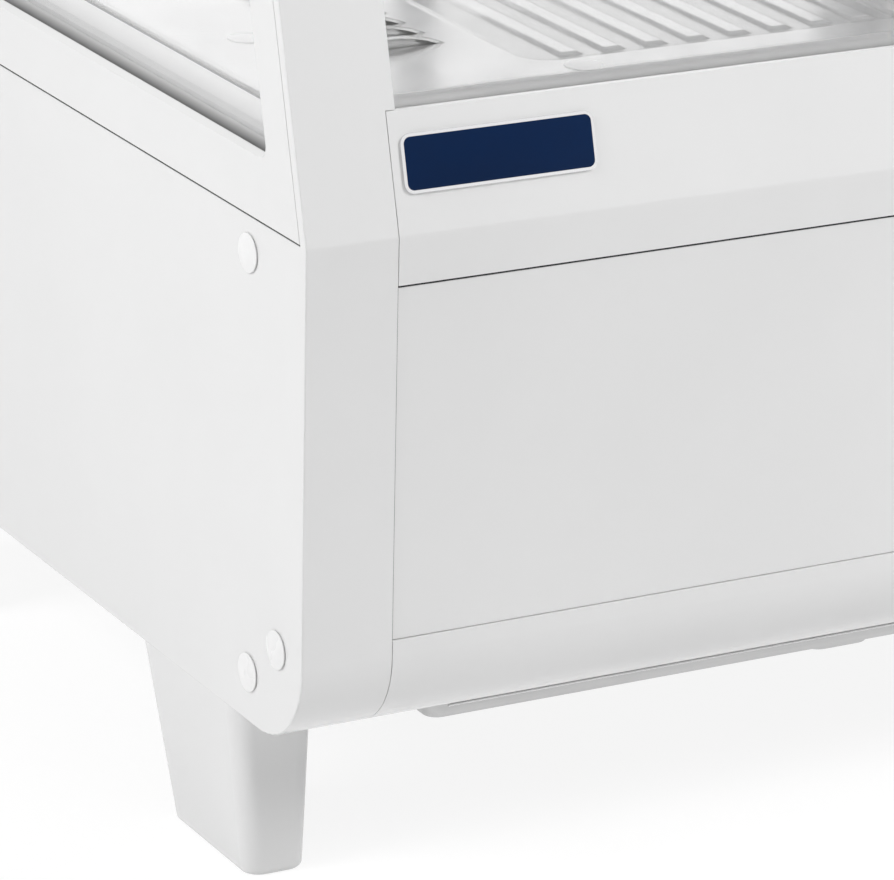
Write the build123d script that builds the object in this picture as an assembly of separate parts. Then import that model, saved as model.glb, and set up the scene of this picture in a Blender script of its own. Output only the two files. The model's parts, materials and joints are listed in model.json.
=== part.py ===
from build123d import *
import math
import os

os.makedirs("parts", exist_ok=True)

# Countertop refrigerated display case. Millimetres, X to the right, Y to the back, Z up,
# origin on the resting surface under the middle of the case, front towards -Y.

# Overall size
WIDTH = 682.0
DEPTH = 568.0
HEIGHT = 675.0
FOOT_HEIGHT = 93.0
KNEE_HEIGHT = 255.0
RAKE_DEGREES = 15.4

# Outer skin: end panels, rails, canopy
SKIN = 3.0
BOTTOM_RADIUS = 45.0
KNEE_RADIUS = 6.0
TOP_RADIUS = 24.0
BACK_RADIUS = 5.0
CORNER_RADIUS = 0.8
PILLAR_WIDTH = 48.3
PILLAR_LIP = 5.1
SEAM = 0.4
SIDE_SEAM = 0.9
FRAME_BORDER = 5.6
CANOPY_DEPTH = 41.0

# Front faces, measured from the knee
RAIL_RISE = 56.7
RAIL_DROP = 23.7
SHADOW_GAP = 1.2
PANEL_DROP = 200.9
PANEL_SHEET = 2.2
PANEL_SETBACK = 0.8
LOWER_SEAM = 0.4
RETURN_WIDTH = 12.0

# Side windows
FRAME_THICKNESS = 8.0
FRAME_REBATE = 6.0
WINDOW_SILL = 34.0
WINDOW_DEPTH = 33.3
WINDOW_HEADER = 43.0
WINDOW_BACK_BAND = 57.0
WINDOW_RADIUS = 4.0
WINDOW_CHAMFER = 2.5
GASKET_THICKNESS = 2.0
GASKET_SLOPE = 16.0
SIDE_PANE = 3.0
SIDE_PANE_GAP = 5.0
GLASS_COVER = 10.0
SPACER_INSET = 3.0
SPACER_WIDTH = 4.0
TRIM_THICKNESS = 3.0
TRIM_BELOW_DECK = 1.5

# Front glass
FRONT_PANE = 4.0
FRONT_PANE_GAP = 6.0
GLASS_SEAT_RISE = 34.0
GLASS_UNDER_CANOPY = 6.4
GASKET_WIDTH = 13.0
GASKET_LOW_BAND = 21.0
GASKET_HIGH_BAND = 4.0

# Frame
POST_WIDTH = 30.0
POST_DEPTH = 19.0
POST_WALL = 2.0
REAR_POST_DEPTH = 42.0
SILL_WIDTH = 25.0
SILL_HEIGHT = 18.5
SILL_BELOW_KNEE = 1.5
REAR_SILL_WIDTH = 29.0
BEAM_LIP = 5.0
BEAM_LIP_HEIGHT = 12.0
HEADER_HEIGHT = 17.0

# Rear panel, tracks and sliding doors
REAR_PANEL_SETBACK = 4.0
REAR_PANEL_SHEET = 2.0
TRACK_RISE = 30.0
TRACK_RIB = 2.0
TRACK_RIB_HEIGHT = 12.0
TRACK_CHANNEL = 14.0
TRACK_FRONT_MARGIN = 3.0
TRACK_WALL = 3.0
TOP_TRACK_HEIGHT = 24.0
TOP_RIB_HEIGHT = 14.0
DOOR_THICKNESS = 12.0
DOOR_BAR = 22.0
DOOR_LAP = 16.0
DOOR_END_GAP = 2.0
DOOR_LIFT = 6.0
DOOR_TOP_GAP = 3.0
DOOR_PANE = 5.0
DOOR_PANE_INSET = 6.0
GRIP_LENGTH = 100.0
GRIP_WIDTH = 10.0
GRIP_DEPTH = 6.0
GLIDE_LENGTH = 30.0
RUN_GAP = 0.4

# Ceiling and lamp
CEILING_SHEET = 3.0
LAMP_END_GAP = 37.0
LAMP_WIDTH = 22.0
LAMP_HEIGHT = 10.0
LAMP_WALL = 1.5
LAMP_DROP = 6.0
LAMP_OFFSET = 12.0

# Deck
DECK_RISE = 46.6
DECK_SHEET = 1.5
DECK_FRONT = 64.0
DECK_ROLL = 8.0
DECK_SIDE_ROLL = 2.5
FIELD_DEPTH = 1.8
FIELD_SLOPE = 7.0
FIELD_FRONT = 94.0
FIELD_BACK = 45.0
FIELD_RADIUS = 20.0
FIELD_FROM_LOUVRE = 17.1
RIB_PITCH = 24.0
RIB_WIDTH = 14.0
RIB_HEIGHT = 1.5
RIB_TAPER = 60.0
RIB_END_GAP = 10.0
LOUVRE_LENGTH = 61.0
LOUVRE_DEPTH = 13.0
LOUVRE_HEIGHT = 6.5
LOUVRE_SLIT = 4.5
LOUVRE_PITCH = 20.5
LOUVRE_FRONT = 145.0
LOUVRE_FROM_SIDE = 120.0

# Base pan and feet
PAN_SHEET = 1.5
PAN_FLANGE = 28.0
RECESS_DROP = 17.2
RECESS_TAPER = 28.0
RECESS_FROM_SIDE = 90.0
RECESS_FRONT = 47.5
RECESS_BACK = 30.0
RECESS_RADIUS = 18.0
BOSS_DROP = 2.0
BOSS_WIDTH = 40.0
BOSS_LENGTH = 60.0
BOSS_FRONT = 58.0
BOTTOM_RAIL_TAIL = 2.0
FOOT_WIDTH = 46.0
FOOT_LENGTH = 109.5
FOOT_FROM_SIDE = 0.8
FOOT_FROM_FRONT = 75.0
FOOT_FROM_BACK = 8.0
FOOT_TAPER_OUT = 9.7
FOOT_TAPER_IN = 3.5
FOOT_TAPER_FRONT = 0.5
FOOT_TAPER_BACK = 18.6
FOOT_RADIUS = 10.0
FOOT_EDGE = 3.0
FOOT_WALL = 4.0
FOOT_FLOOR = 6.0
FOOT_BOSS = 20.0
BOLT = 8.0
BOLT_CLEARANCE = 0.5
BOLT_HEAD = 13.0
BOLT_HEAD_HEIGHT = 5.5
BOLT_REACH = 20.0

# Screw caps: places as (distance behind the front, height), the upper one below the knee
CAP_DIAMETER = 19.4
CAP_STEM = 16.5
CAP_RIM_GAP = 0.5
CAP_RIM = 0.5
CAP_HEIGHT = 2.6
DECK_PLUG_RIM = 0.3
DECK_PLUG_HEIGHT = 1.2
UPPER_SIDE_CAP = (59.4, 17.8)
LOWER_SIDE_CAPS = [(56.7, 25.7), (26.4, 48.0)]
DECK_PLUG_FRONT = (190.8, 80.5)
DECK_PLUG_SIDE = (63.5, 192.6)

# Shelves
UPRIGHT_WIDTH = 14.0
UPRIGHT_DEPTH = 12.0
UPRIGHT_WALL = 1.5
SLOT_WIDTH = 3.0
SLOT_HEIGHT = 10.0
SLOT_PITCH = 25.0
SLOT_LOW = 35.0
SLOT_TOP_GAP = 35.0
BRACKET_SHEET = 2.0
BRACKET_ROOT = 34.0
BRACKET_TIP = 12.0
HOOK_DEPTH = 5.0
HOOK_HEIGHT = 8.0
SHELF_RIM = 6.0
SHELF_WIRE = 3.5
SHELF_WELD = 0.5
SHELF_PITCH = 28.0
SHELF_SIDE_GAP = 4.0
SHELF_BACK_GAP = 8.0
SHELF_FRONT_GAP = 50.0
SHELVES_AND_DECK = 3
UPPER_SHELF_FROM_TOP = 2

# Insulated tub, evaporator and drain
TUB_HEIGHT = 66.0
TUB_WALL = 22.0
TUB_RADIUS = 15.0
COIL_LENGTH = 400.0
COIL_DEPTH = 70.0
COIL_HEIGHT = 60.0
COIL_FROM_BACK = 125.0
FIN_PITCH = 10.0
FIN_GROOVE = 4.0
BEND_RADIUS = 12.0
LINE_DIAMETER = 8.0
LINE_BEND = 14.0
LINE_BEHIND_COIL = 56.0
LINE_OVER_PAN = 8.0
DRAIN_FROM_FRONT = 90.0
DRAIN_BORE = 14.0
DRAIN_WALL = 2.0
DRAIN_OVER_TRAY = 12.0
TRAY_WIDTH = 180.0
TRAY_LENGTH = 90.0
TRAY_HEIGHT = 30.0
TRAY_WALL = 2.0

# Fans
FAN_CLEARANCE = 3.0
SHAFT = 5.0
SHAFT_CLEARANCE = 0.05
FAN_SHEET = 2.0
FAN_HEADROOM = 4.5
EVAPORATOR_FAN_FROM_COIL = 85.0
CONDENSER_FAN_MARGIN = 5.0
FAN_BLADES = 5
BLADE_PITCH = 32.0
HUB_LENGTH = 14.0
HUB_SHARE = 0.3
TIP_SHARE = 0.9
MOTOR_LENGTH = 26.0
FAN_PLATE = 4.0

# Machine space
COMPRESSOR_FROM_SIDE = 211.0
COMPRESSOR_RADIUS = 75.0
COMPRESSOR_HEADROOM = 16.5
SUCTION_RUN = 21.0
DISCHARGE_RUN = 53.0
COMPRESSOR_DOME = 36.0
COMPRESSOR_RIM = 3.0
COMPRESSOR_RIM_HEIGHT = 5.0
COMPRESSOR_FOOT_SHEET = 2.5
COMPRESSOR_FOOT_LENGTH = 190.0
COMPRESSOR_FOOT_WIDTH = 130.0
MOUNT_RADIUS = 14.0
MOUNT_HEIGHT = 14.0
MOUNT_SPREAD_X = 78.0
MOUNT_SPREAD_Y = 48.0
STUB_DIAMETER = 11.0
STUB_LENGTH = 12.0
STUB_BELOW_TOP = 32.0
STUB_OFFSET = 50.0
CONDENSER_FROM_SIDE = 111.0
CONDENSER_FROM_BACK = 65.0
CONDENSER_HEADROOM = 30.5
CONDENSER_DEPTH = 35.0
DRIER_DIAMETER = 20.0
DRIER_LENGTH = 80.0
DRIER_FROM_CONDENSER = 42.0

# Controls on the rear panel
CONTROL_FROM_SIDE = 191.0
CONTROL_BELOW_KNEE = 46.0
BEZEL_WIDTH = 180.0
BEZEL_HEIGHT = 56.0
BEZEL_THICKNESS = 2.5
BEZEL_ROUND = 6.0
BEZEL_LAP = 6.0
CONTROLLER_WIDTH = 92.0
CONTROLLER_HEIGHT = 34.0
CONTROLLER_DEPTH = 18.0
CONTROLLER_SHIFT = -30.0
DISPLAY_WIDTH = 40.0
DISPLAY_HEIGHT = 20.0
DISPLAY_DEPTH = 1.5
DISPLAY_SHIFT = -20.0
BUTTON_DIAMETER = 8.0
BUTTON_GAP = 0.3
BUTTON_LENGTH = 5.5
BUTTON_PROUD = 1.0
BUTTON_TRAVEL = 1.2
BUTTON_PITCH = 13.0
BUTTON_SHIFT = 18.0
ROCKER_RADIUS = 9.4
ROCKER_WIDTH = 13.0
ROCKER_GAP = 0.5
ROCKER_NOTCH = 1.5
ROCKER_PROUD = 0.9
ROCKER_TILT = 9.0
ROCKER_PIN = 2.4
ROCKER_PIN_REACH = 1.0
ROCKER_PITCH = 28.0
ROCKER_SHIFT = 36.0
WELL_WALL = 1.5
VENT_LENGTH = 180.0
VENT_WIDTH = 7.0
VENT_PITCH = 15.0
VENT_ROWS = 9
VENT_LOW = 32.0
GLAND_DIAMETER = 24.0
GLAND_BORE = 9.0
GLAND_FROM_SIDE = 91.0
GLAND_HEIGHT = 40.0

# Planes that several pieces share
RAKE = math.radians(RAKE_DEGREES)
SIN = math.sin(RAKE)
COS = math.cos(RAKE)
HALF = WIDTH / 2
FRONT = -DEPTH / 2
BACK = DEPTH / 2
BODY_BOTTOM = FOOT_HEIGHT
KNEE_Z = FOOT_HEIGHT + KNEE_HEIGHT
RAIL_TOP = KNEE_Z + RAIL_RISE
CANOPY_BOTTOM = HEIGHT - CANOPY_DEPTH
PILLAR_IN = HALF - PILLAR_WIDTH
PANEL_HALF = PILLAR_IN - SEAM
POST_OUT = HALF - FRAME_THICKNESS
POST_IN = POST_OUT - POST_WIDTH
POST_BACK_DEPTH = SKIN + POST_DEPTH
REAR_POST_FRONT = BACK - SKIN - REAR_POST_DEPTH
GLASS_OUT = HALF - FRAME_THICKNESS - GASKET_THICKNESS
TRIM_OUT = GLASS_OUT - 2 * SIDE_PANE - SIDE_PANE_GAP
INSIDE = TRIM_OUT - TRIM_THICKNESS
WINDOW_BOTTOM = KNEE_Z + WINDOW_SILL
WINDOW_TOP = HEIGHT - WINDOW_HEADER
WINDOW_BACK = BACK - WINDOW_BACK_BAND
GLASS_BOTTOM = WINDOW_BOTTOM - GLASS_COVER
GLASS_TOP = WINDOW_TOP + GLASS_COVER
PANE_OUT = SKIN + GASKET_THICKNESS
PANE_IN = PANE_OUT + 2 * FRONT_PANE + FRONT_PANE_GAP
BEAM_BACK = PANE_IN + BEAM_LIP
GLASS_TOP_RISE = (CANOPY_BOTTOM - KNEE_Z) / COS + GLASS_UNDER_CANOPY
SILL_TOP = KNEE_Z - SILL_BELOW_KNEE
SILL_BOTTOM = SILL_TOP - SILL_HEIGHT
SILL_IN = HALF - SKIN - SILL_WIDTH
REAR_FACE = BACK - REAR_PANEL_SETBACK
REAR_INNER = REAR_FACE - REAR_PANEL_SHEET
TRACK_FLOOR = SILL_TOP + TRACK_RISE
TRACK_CEILING = HEIGHT - SKIN - TOP_TRACK_HEIGHT
CEILING_Z = TRACK_CEILING - CEILING_SHEET
DECK_Z = KNEE_Z + DECK_RISE
DECK_EDGE = FRONT + DECK_FRONT
LOUVRE_X = HALF - LOUVRE_FROM_SIDE
FIELD_HALF = LOUVRE_X - LOUVRE_LENGTH / 2 - FIELD_FROM_LOUVRE
FIELD_LENGTH = REAR_POST_FRONT - FIELD_BACK - FRONT - FIELD_FRONT
FIELD_Y = FRONT + FIELD_FRONT + FIELD_LENGTH / 2
RIBS_EACH_SIDE = int((FIELD_HALF - FIELD_SLOPE - RIB_WIDTH) / RIB_PITCH)
RIB_LENGTH = FIELD_LENGTH - 2 * RIB_END_GAP
LOUVRE_REACH = FIELD_FRONT + FIELD_LENGTH - LOUVRE_FRONT - LOUVRE_DEPTH
LOUVRE_COUNT = int(LOUVRE_REACH / LOUVRE_PITCH) + 1
SLOT_REACH = CEILING_Z - DECK_Z - SLOT_LOW - SLOT_TOP_GAP
SLOT_COUNT = int(SLOT_REACH / SLOT_PITCH) + 1
UPPER_SHELF_SLOT = SLOT_COUNT - UPPER_SHELF_FROM_TOP
LOWER_SHELF_SLOT = UPPER_SHELF_SLOT // SHELVES_AND_DECK
TUB_TOP = SILL_BOTTOM
TUB_BOTTOM = TUB_TOP - TUB_HEIGHT
TUB_FLOOR = TUB_BOTTOM + TUB_WALL
TUB_FRONT = FRONT + SKIN + RETURN_WIDTH
TUB_BACK = REAR_INNER - REAR_SILL_WIDTH
PAN_TOP = BODY_BOTTOM + SKIN + PAN_SHEET
PAN_FLOOR = BODY_BOTTOM - RECESS_DROP + PAN_SHEET
COMPRESSOR_BASE = PAN_FLOOR + MOUNT_HEIGHT
COIL_Y = TUB_BACK - COIL_FROM_BACK
COIL_REAR = COIL_Y + COIL_DEPTH / 2
LINE_Y = COIL_REAR + LINE_BEHIND_COIL
DRAIN_Y = TUB_FRONT + DRAIN_FROM_FRONT
COMPRESSOR_X = -HALF + COMPRESSOR_FROM_SIDE
COMPRESSOR_Y = LINE_Y - SUCTION_RUN - COMPRESSOR_RADIUS
COMPRESSOR_HEIGHT = TUB_BOTTOM - COMPRESSOR_HEADROOM - COMPRESSOR_BASE
STUB_Z = COMPRESSOR_BASE + COMPRESSOR_HEIGHT - STUB_BELOW_TOP
STUB_END = COMPRESSOR_X + COMPRESSOR_RADIUS + STUB_LENGTH
CONDENSER_LEFT = STUB_END + DISCHARGE_RUN
CONDENSER_RIGHT = HALF - CONDENSER_FROM_SIDE
CONDENSER_X = (CONDENSER_LEFT + CONDENSER_RIGHT) / 2
CONDENSER_Y = BACK - CONDENSER_FROM_BACK
CONDENSER_HEIGHT = TUB_BOTTOM - CONDENSER_HEADROOM - PAN_FLOOR
FAN_RIM = FAN_CLEARANCE + FAN_PLATE
CONDENSER_FAN_RADIUS = CONDENSER_HEIGHT / 2 - CONDENSER_FAN_MARGIN
EVAPORATOR_FAN_SPACE = DECK_Z - DECK_SHEET - FAN_HEADROOM - TUB_FLOOR - FAN_PLATE
EVAPORATOR_FAN_RADIUS = EVAPORATOR_FAN_SPACE / 2 - FAN_RIM
CONTROL_X = HALF - CONTROL_FROM_SIDE
GLAND_X = -HALF + GLAND_FROM_SIDE
CONTROL_Z = KNEE_Z - CONTROL_BELOW_KNEE
BEZEL_FACE = REAR_FACE + BEZEL_THICKNESS
BUTTON_FACE = BEZEL_FACE + BUTTON_PROUD
ROCKER_PIVOT_Y = REAR_FACE + BEZEL_THICKNESS / 2


def block(x, y, z):
    """Box between three pairs of low and high coordinates."""
    low_high = (x, y, z)
    size = [high - low for low, high in low_high]
    middle = [(high + low) / 2 for low, high in low_high]
    return Pos(*middle) * Box(*size)


def rod(x, y, z, radius):
    """Round bar along the one axis that is given as a pair."""
    if isinstance(x, tuple):
        return Pos(sum(x) / 2, y, z) * Rot(0, 90, 0) * Cylinder(radius, x[1] - x[0])
    if isinstance(y, tuple):
        return Pos(x, sum(y) / 2, z) * Rot(90, 0, 0) * Cylinder(radius, y[1] - y[0])
    return Pos(x, y, sum(z) / 2) * Cylinder(radius, z[1] - z[0])


def polygon(*points):
    """Flat face through the given corners."""
    return make_face(Polyline(*points, close=True))


def across(sketch, left, right):
    """Solid from a sketch drawn in Y and Z and extruded along X."""
    return extrude(Plane.YZ.offset(left) * sketch, right - left)


def both_sides(piece):
    """A left piece together with its mirror image."""
    return [piece, mirror(piece, about=Plane.YZ)]


def raked_y(depth, z):
    """Y at a height, for a plane at a depth behind the leaning front face."""
    return FRONT + (depth + (z - KNEE_Z) * SIN) / COS


def raked(depth, rise):
    """Y and Z at a depth behind the leaning front face and a rise along it from the knee."""
    return (FRONT + rise * SIN + depth * COS, KNEE_Z + rise * COS - depth * SIN)


def raked_bar(x, depth, rise):
    """Bar that lies along the leaning front face."""
    corners = [
        raked(depth[0], rise[0]),
        raked(depth[1], rise[0]),
        raked(depth[1], rise[1]),
        raked(depth[0], rise[1]),
    ]
    return across(polygon(*corners), *x)


def outline(inset):
    """Side outline of the cabinet, moved inwards, drawn in Y and Z."""
    top = HEIGHT - inset
    corners = [
        (BACK - inset, BODY_BOTTOM + inset, BACK_RADIUS),
        (FRONT + inset, BODY_BOTTOM + inset, BOTTOM_RADIUS),
        (FRONT + inset, KNEE_Z - inset * math.tan(RAKE / 2), KNEE_RADIUS),
        (raked_y(inset, top), top, TOP_RADIUS),
        (BACK - inset, top, BACK_RADIUS),
    ]
    shape = polygon(*[(y, z) for y, z, _ in corners])
    for y, z, radius in corners:
        if radius > inset:
            corner = shape.vertices().sort_by_distance((y, z))[0]
            shape = fillet(corner, radius - inset)
    return shape


def skin_band(x, y, z):
    """Part of the outer skin inside a box."""
    return across(outline(0) - outline(SKIN), *x) & block(x, y, z)


def inside_skin(piece, x):
    """Trim a piece to the space within the outer skin."""
    return piece & across(outline(SKIN), *x)


def window_shape(depth, bottom, top, back):
    """Four-sided shape whose front edge follows the leaning front."""
    return polygon(
        (raked_y(depth, bottom), bottom),
        (back, bottom),
        (back, top),
        (raked_y(depth, top), top),
    )


def opening(grow, radius):
    """Side window opening, made larger all round, with rounded corners."""
    shape = window_shape(
        WINDOW_DEPTH - grow, WINDOW_BOTTOM - grow, WINDOW_TOP + grow, WINDOW_BACK + grow
    )
    return fillet(shape.vertices(), radius)


# Ends and side windows, made for the left side


def foot_bolt_x():
    """X of the left foot bolts."""
    return -HALF + FOOT_FROM_SIDE + FOOT_WIDTH / 2


def foot_bolt_y():
    """Y of the front and of the rear foot bolts."""
    middle = FOOT_LENGTH / 2
    return (FRONT + FOOT_FROM_FRONT + middle, BACK - FOOT_FROM_BACK - middle)


def end_panel():
    """Side face, wrapped edge and full-height pillar in one moulding."""
    body = across(outline(0), -HALF, -PILLAR_IN)
    body = fillet(body.faces().sort_by(Axis.X)[0].edges(), CORNER_RADIUS)
    body -= across(outline(SKIN), -HALF + SKIN, -PILLAR_IN)
    lip_x = (-PILLAR_IN, -PILLAR_IN + PILLAR_LIP)
    lip = skin_band(lip_x, (FRONT, 0), (RAIL_TOP + SEAM, CANOPY_BOTTOM - SEAM))
    side = (-HALF, -HALF + SKIN)
    window = across(outline(FRAME_BORDER), *side) & block(side, (FRONT, BACK), (KNEE_Z, HEIGHT))
    body = body + lip - window
    for y in foot_bolt_y():
        body -= rod(foot_bolt_x(), y, (BODY_BOTTOM, BODY_BOTTOM + SKIN), BOLT / 2 + BOLT_CLEARANCE)
    return body


def window_frame():
    """Flush frame round the side glass, with a rebate for the gasket."""
    x = (-HALF, -HALF + FRAME_THICKNESS)
    frame = across(outline(FRAME_BORDER + SEAM), *x)
    frame &= block(x, (FRONT, BACK), (KNEE_Z + SIDE_SEAM, HEIGHT))
    frame -= across(opening(0, WINDOW_RADIUS), *x)
    rim = frame.faces().sort_by(Axis.X)[0].inner_wires()[0].edges()
    frame = chamfer(rim, WINDOW_CHAMFER)
    return frame - across(opening(FRAME_REBATE, WINDOW_RADIUS), x[0] + SKIN, x[1])


def window_gasket():
    """Wedge strip that fills the rebate and slopes in to the outer pane."""
    x = (-HALF + SKIN, -GLASS_OUT)
    strip = across(opening(FRAME_REBATE, WINDOW_RADIUS), *x)
    hole = Plane.YZ.offset(x[0]) * opening(0, WINDOW_RADIUS)
    return strip - extrude(hole, x[1] - x[0], taper=GASKET_SLOPE)


def side_panes():
    """Outer and inner pane of the side window."""
    shape = opening(GLASS_COVER, WINDOW_RADIUS)
    inner = -GLASS_OUT + SIDE_PANE + SIDE_PANE_GAP
    return [
        across(shape, -GLASS_OUT, -GLASS_OUT + SIDE_PANE),
        across(shape, inner, inner + SIDE_PANE),
    ]


def side_spacer():
    """Aluminium strip that keeps the side panes apart."""
    outer = GLASS_COVER - SPACER_INSET
    ring = opening(outer, WINDOW_RADIUS) - opening(outer - SPACER_WIDTH, WINDOW_RADIUS)
    x = -GLASS_OUT + SIDE_PANE
    return across(ring, x, x + SIDE_PANE_GAP)


def inner_trim():
    """Inner frame that holds the side glass from within."""
    ring = window_shape(POST_BACK_DEPTH, GLASS_BOTTOM, GLASS_TOP, REAR_POST_FRONT)
    view = window_shape(WINDOW_DEPTH, DECK_Z - TRIM_BELOW_DECK, WINDOW_TOP, WINDOW_BACK)
    ring -= fillet(view.vertices(), WINDOW_RADIUS)
    return across(ring, -TRIM_OUT, -INSIDE)


def front_post():
    """Leaning tube behind the pillar, from the sill frame to the top."""
    x = (-POST_OUT, -POST_IN)
    rise = (-POST_WIDTH, HEIGHT)
    tube = raked_bar(x, (SKIN, POST_BACK_DEPTH), rise)
    hollow = (x[0] + POST_WALL, x[1] - POST_WALL)
    tube -= raked_bar(hollow, (SKIN + POST_WALL, POST_BACK_DEPTH - POST_WALL), rise)
    tube &= block(x, (FRONT, BACK), (SILL_TOP, HEIGHT))
    return inside_skin(tube, x)


def rear_post():
    """Upright tube at the back corner."""
    x = (-POST_OUT, -POST_IN)
    y = (REAR_POST_FRONT, BACK - SKIN)
    z = (SILL_TOP, HEIGHT)
    tube = block(x, y, z)
    tube -= block((x[0] + POST_WALL, x[1] - POST_WALL), (y[0] + POST_WALL, y[1] - POST_WALL), z)
    return inside_skin(tube, x)


# Frame and front


def sill_frame():
    """Welded ring at knee height with side sills and the beam under the front glass."""
    z = (SILL_BOTTOM, SILL_TOP)
    wide = HALF - SKIN
    frame = block((-wide, wide), (FRONT + SKIN, REAR_INNER), z)
    frame -= block((-SILL_IN, SILL_IN), (FRONT + SKIN + SILL_WIDTH, TUB_BACK), z)
    sill_front = raked_y(POST_BACK_DEPTH, GLASS_BOTTOM)
    sill = block((-POST_OUT, -SILL_IN), (sill_front, REAR_POST_FRONT), (SILL_TOP, GLASS_BOTTOM))
    span = (-POST_IN, POST_IN)
    beam = raked_bar(span, (SKIN, BEAM_BACK), (-SILL_HEIGHT / 2, GLASS_SEAT_RISE))
    beam += raked_bar(span, (PANE_IN, BEAM_BACK), (0, GLASS_SEAT_RISE + BEAM_LIP_HEIGHT))
    return frame + both_sides(sill) + inside_skin(beam, span)


def front_header():
    """Beam over the front glass, with a lip behind the inner pane."""
    span = (-POST_IN, POST_IN)
    rise = GLASS_TOP_RISE
    beam = raked_bar(span, (SKIN, BEAM_BACK), (rise, rise + HEADER_HEIGHT))
    beam += raked_bar(span, (PANE_IN, BEAM_BACK), (rise - BEAM_LIP_HEIGHT, rise))
    return inside_skin(beam, span)


def front_panes():
    """Two leaning panes between the pillars."""
    x = (-POST_IN, POST_IN)
    rise = (GLASS_SEAT_RISE, GLASS_TOP_RISE)
    return [
        raked_bar(x, (PANE_OUT, PANE_OUT + FRONT_PANE), rise),
        raked_bar(x, (PANE_IN - FRONT_PANE, PANE_IN), rise),
    ]


def raked_ring(half, depth, rise, side, low, high):
    """Rectangular frame in the plane of the front glass."""
    ring = raked_bar((-half, half), depth, rise)
    hole = half - side
    return ring - raked_bar((-hole, hole), depth, (rise[0] + low, rise[1] - high))


def front_spacer():
    """Aluminium strip that keeps the front panes apart."""
    depth = (PANE_OUT + FRONT_PANE, PANE_IN - FRONT_PANE)
    rise = (GLASS_SEAT_RISE + SPACER_INSET, GLASS_TOP_RISE - SPACER_INSET)
    half = POST_IN - SPACER_INSET
    return raked_ring(half, depth, rise, SPACER_WIDTH, SPACER_WIDTH, SPACER_WIDTH)


def front_gasket():
    """Flat seal between the front pane and the skin round it."""
    rise = (GLASS_SEAT_RISE, GLASS_TOP_RISE)
    depth = (SKIN, PANE_OUT)
    return raked_ring(POST_IN, depth, rise, GASKET_WIDTH, GASKET_LOW_BAND, GASKET_HIGH_BAND)


def front_rail():
    """Rail below the front glass: leaning face, knee, short drop and a return."""
    x = (-PANEL_HALF, PANEL_HALF)
    bottom = KNEE_Z - RAIL_DROP
    rail = skin_band(x, (FRONT, 0), (bottom, RAIL_TOP))
    return rail + block(x, (FRONT + SKIN, TUB_FRONT), (bottom, bottom + SKIN))


def front_panel():
    """Flat lower front sheet with folded edges."""
    x = (-PANEL_HALF, PANEL_HALF)
    z = (KNEE_Z - PANEL_DROP, KNEE_Z - RAIL_DROP - SHADOW_GAP)
    face = FRONT + PANEL_SETBACK
    tray = block(x, (face, TUB_FRONT), z)
    inner_x = (x[0] + PANEL_SHEET, x[1] - PANEL_SHEET)
    inner_z = (z[0] + PANEL_SHEET, z[1] - PANEL_SHEET)
    return tray - block(inner_x, (face + PANEL_SHEET, TUB_FRONT), inner_z)


def bottom_rail():
    """Quarter-round strip along the bottom of the front."""
    x = (-PANEL_HALF, PANEL_HALF)
    top = KNEE_Z - PANEL_DROP - LOWER_SEAM
    tail = FRONT + BOTTOM_RADIUS + BOTTOM_RAIL_TAIL
    rail = skin_band(x, (FRONT, tail), (BODY_BOTTOM, top))
    return rail + block(x, (FRONT + SKIN, TUB_FRONT), (top - SKIN, top))


def canopy():
    """Top cover: front fascia, roof and rear fascia in one bent sheet."""
    return skin_band((-PANEL_HALF, PANEL_HALF), (FRONT, BACK), (CANOPY_BOTTOM, HEIGHT))


def ceiling_panel():
    """Inner ceiling between the header and the top track."""
    low = CEILING_Z
    high = CEILING_Z + CEILING_SHEET
    shape = polygon(
        (raked_y(BEAM_BACK, low), low),
        (REAR_POST_FRONT, low),
        (REAR_POST_FRONT, high),
        (raked_y(BEAM_BACK, high), high),
    )
    return across(shape, -INSIDE, INSIDE)


def lamp_box(inset, top, bottom):
    """Box along the lamp, narrowed by an inset."""
    front = raked_y(BEAM_BACK, CEILING_Z) + LAMP_OFFSET
    half = INSIDE - LAMP_END_GAP - inset
    return block((-half, half), (front + inset, front + LAMP_WIDTH - inset), (bottom, top))


def lamp_channel():
    """Aluminium channel, open downwards."""
    bottom = CEILING_Z - LAMP_HEIGHT
    return lamp_box(0, CEILING_Z, bottom) - lamp_box(LAMP_WALL, CEILING_Z - LAMP_WALL, bottom)


def lamp_diffuser():
    """Opal lens in the channel, rounded below."""
    bottom = CEILING_Z - LAMP_HEIGHT - LAMP_DROP
    lens = lamp_box(LAMP_WALL, CEILING_Z - LAMP_WALL, bottom)
    low_edges = lens.edges().filter_by(Axis.X).group_by(Axis.Z)[0]
    return fillet(low_edges, LAMP_DROP)


# Deck


def louvre_cylinder(radius):
    """Long cylinder whose crest falls from the louvre mouth to the sheet."""
    crest = (LOUVRE_LENGTH**2 / 4 + LOUVRE_HEIGHT**2) / (2 * LOUVRE_HEIGHT)
    fall = math.degrees(math.atan(LOUVRE_HEIGHT / LOUVRE_DEPTH))
    return Pos(0, 0, LOUVRE_HEIGHT) * Rot(-fall, 0, 0) * Pos(0, 0, -crest) * Rot(90, 0, 0) * Cylinder(
        crest + radius, 4 * LOUVRE_LENGTH
    )


def louvre_hood():
    """Pressed hood over a louvre mouth that faces the front."""
    reach = (-LOUVRE_LENGTH, LOUVRE_LENGTH)
    hood = louvre_cylinder(0) & block(reach, (0, 2 * LOUVRE_DEPTH), (0, 2 * LOUVRE_HEIGHT))
    return hood - louvre_cylinder(-DECK_SHEET)


def louvre_mouth():
    """Slit in the sheet under a hood."""
    reach = (-LOUVRE_LENGTH, LOUVRE_LENGTH)
    return louvre_cylinder(-DECK_SHEET) & block(reach, (0, LOUVRE_SLIT), (-DECK_SHEET, 0))


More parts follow.
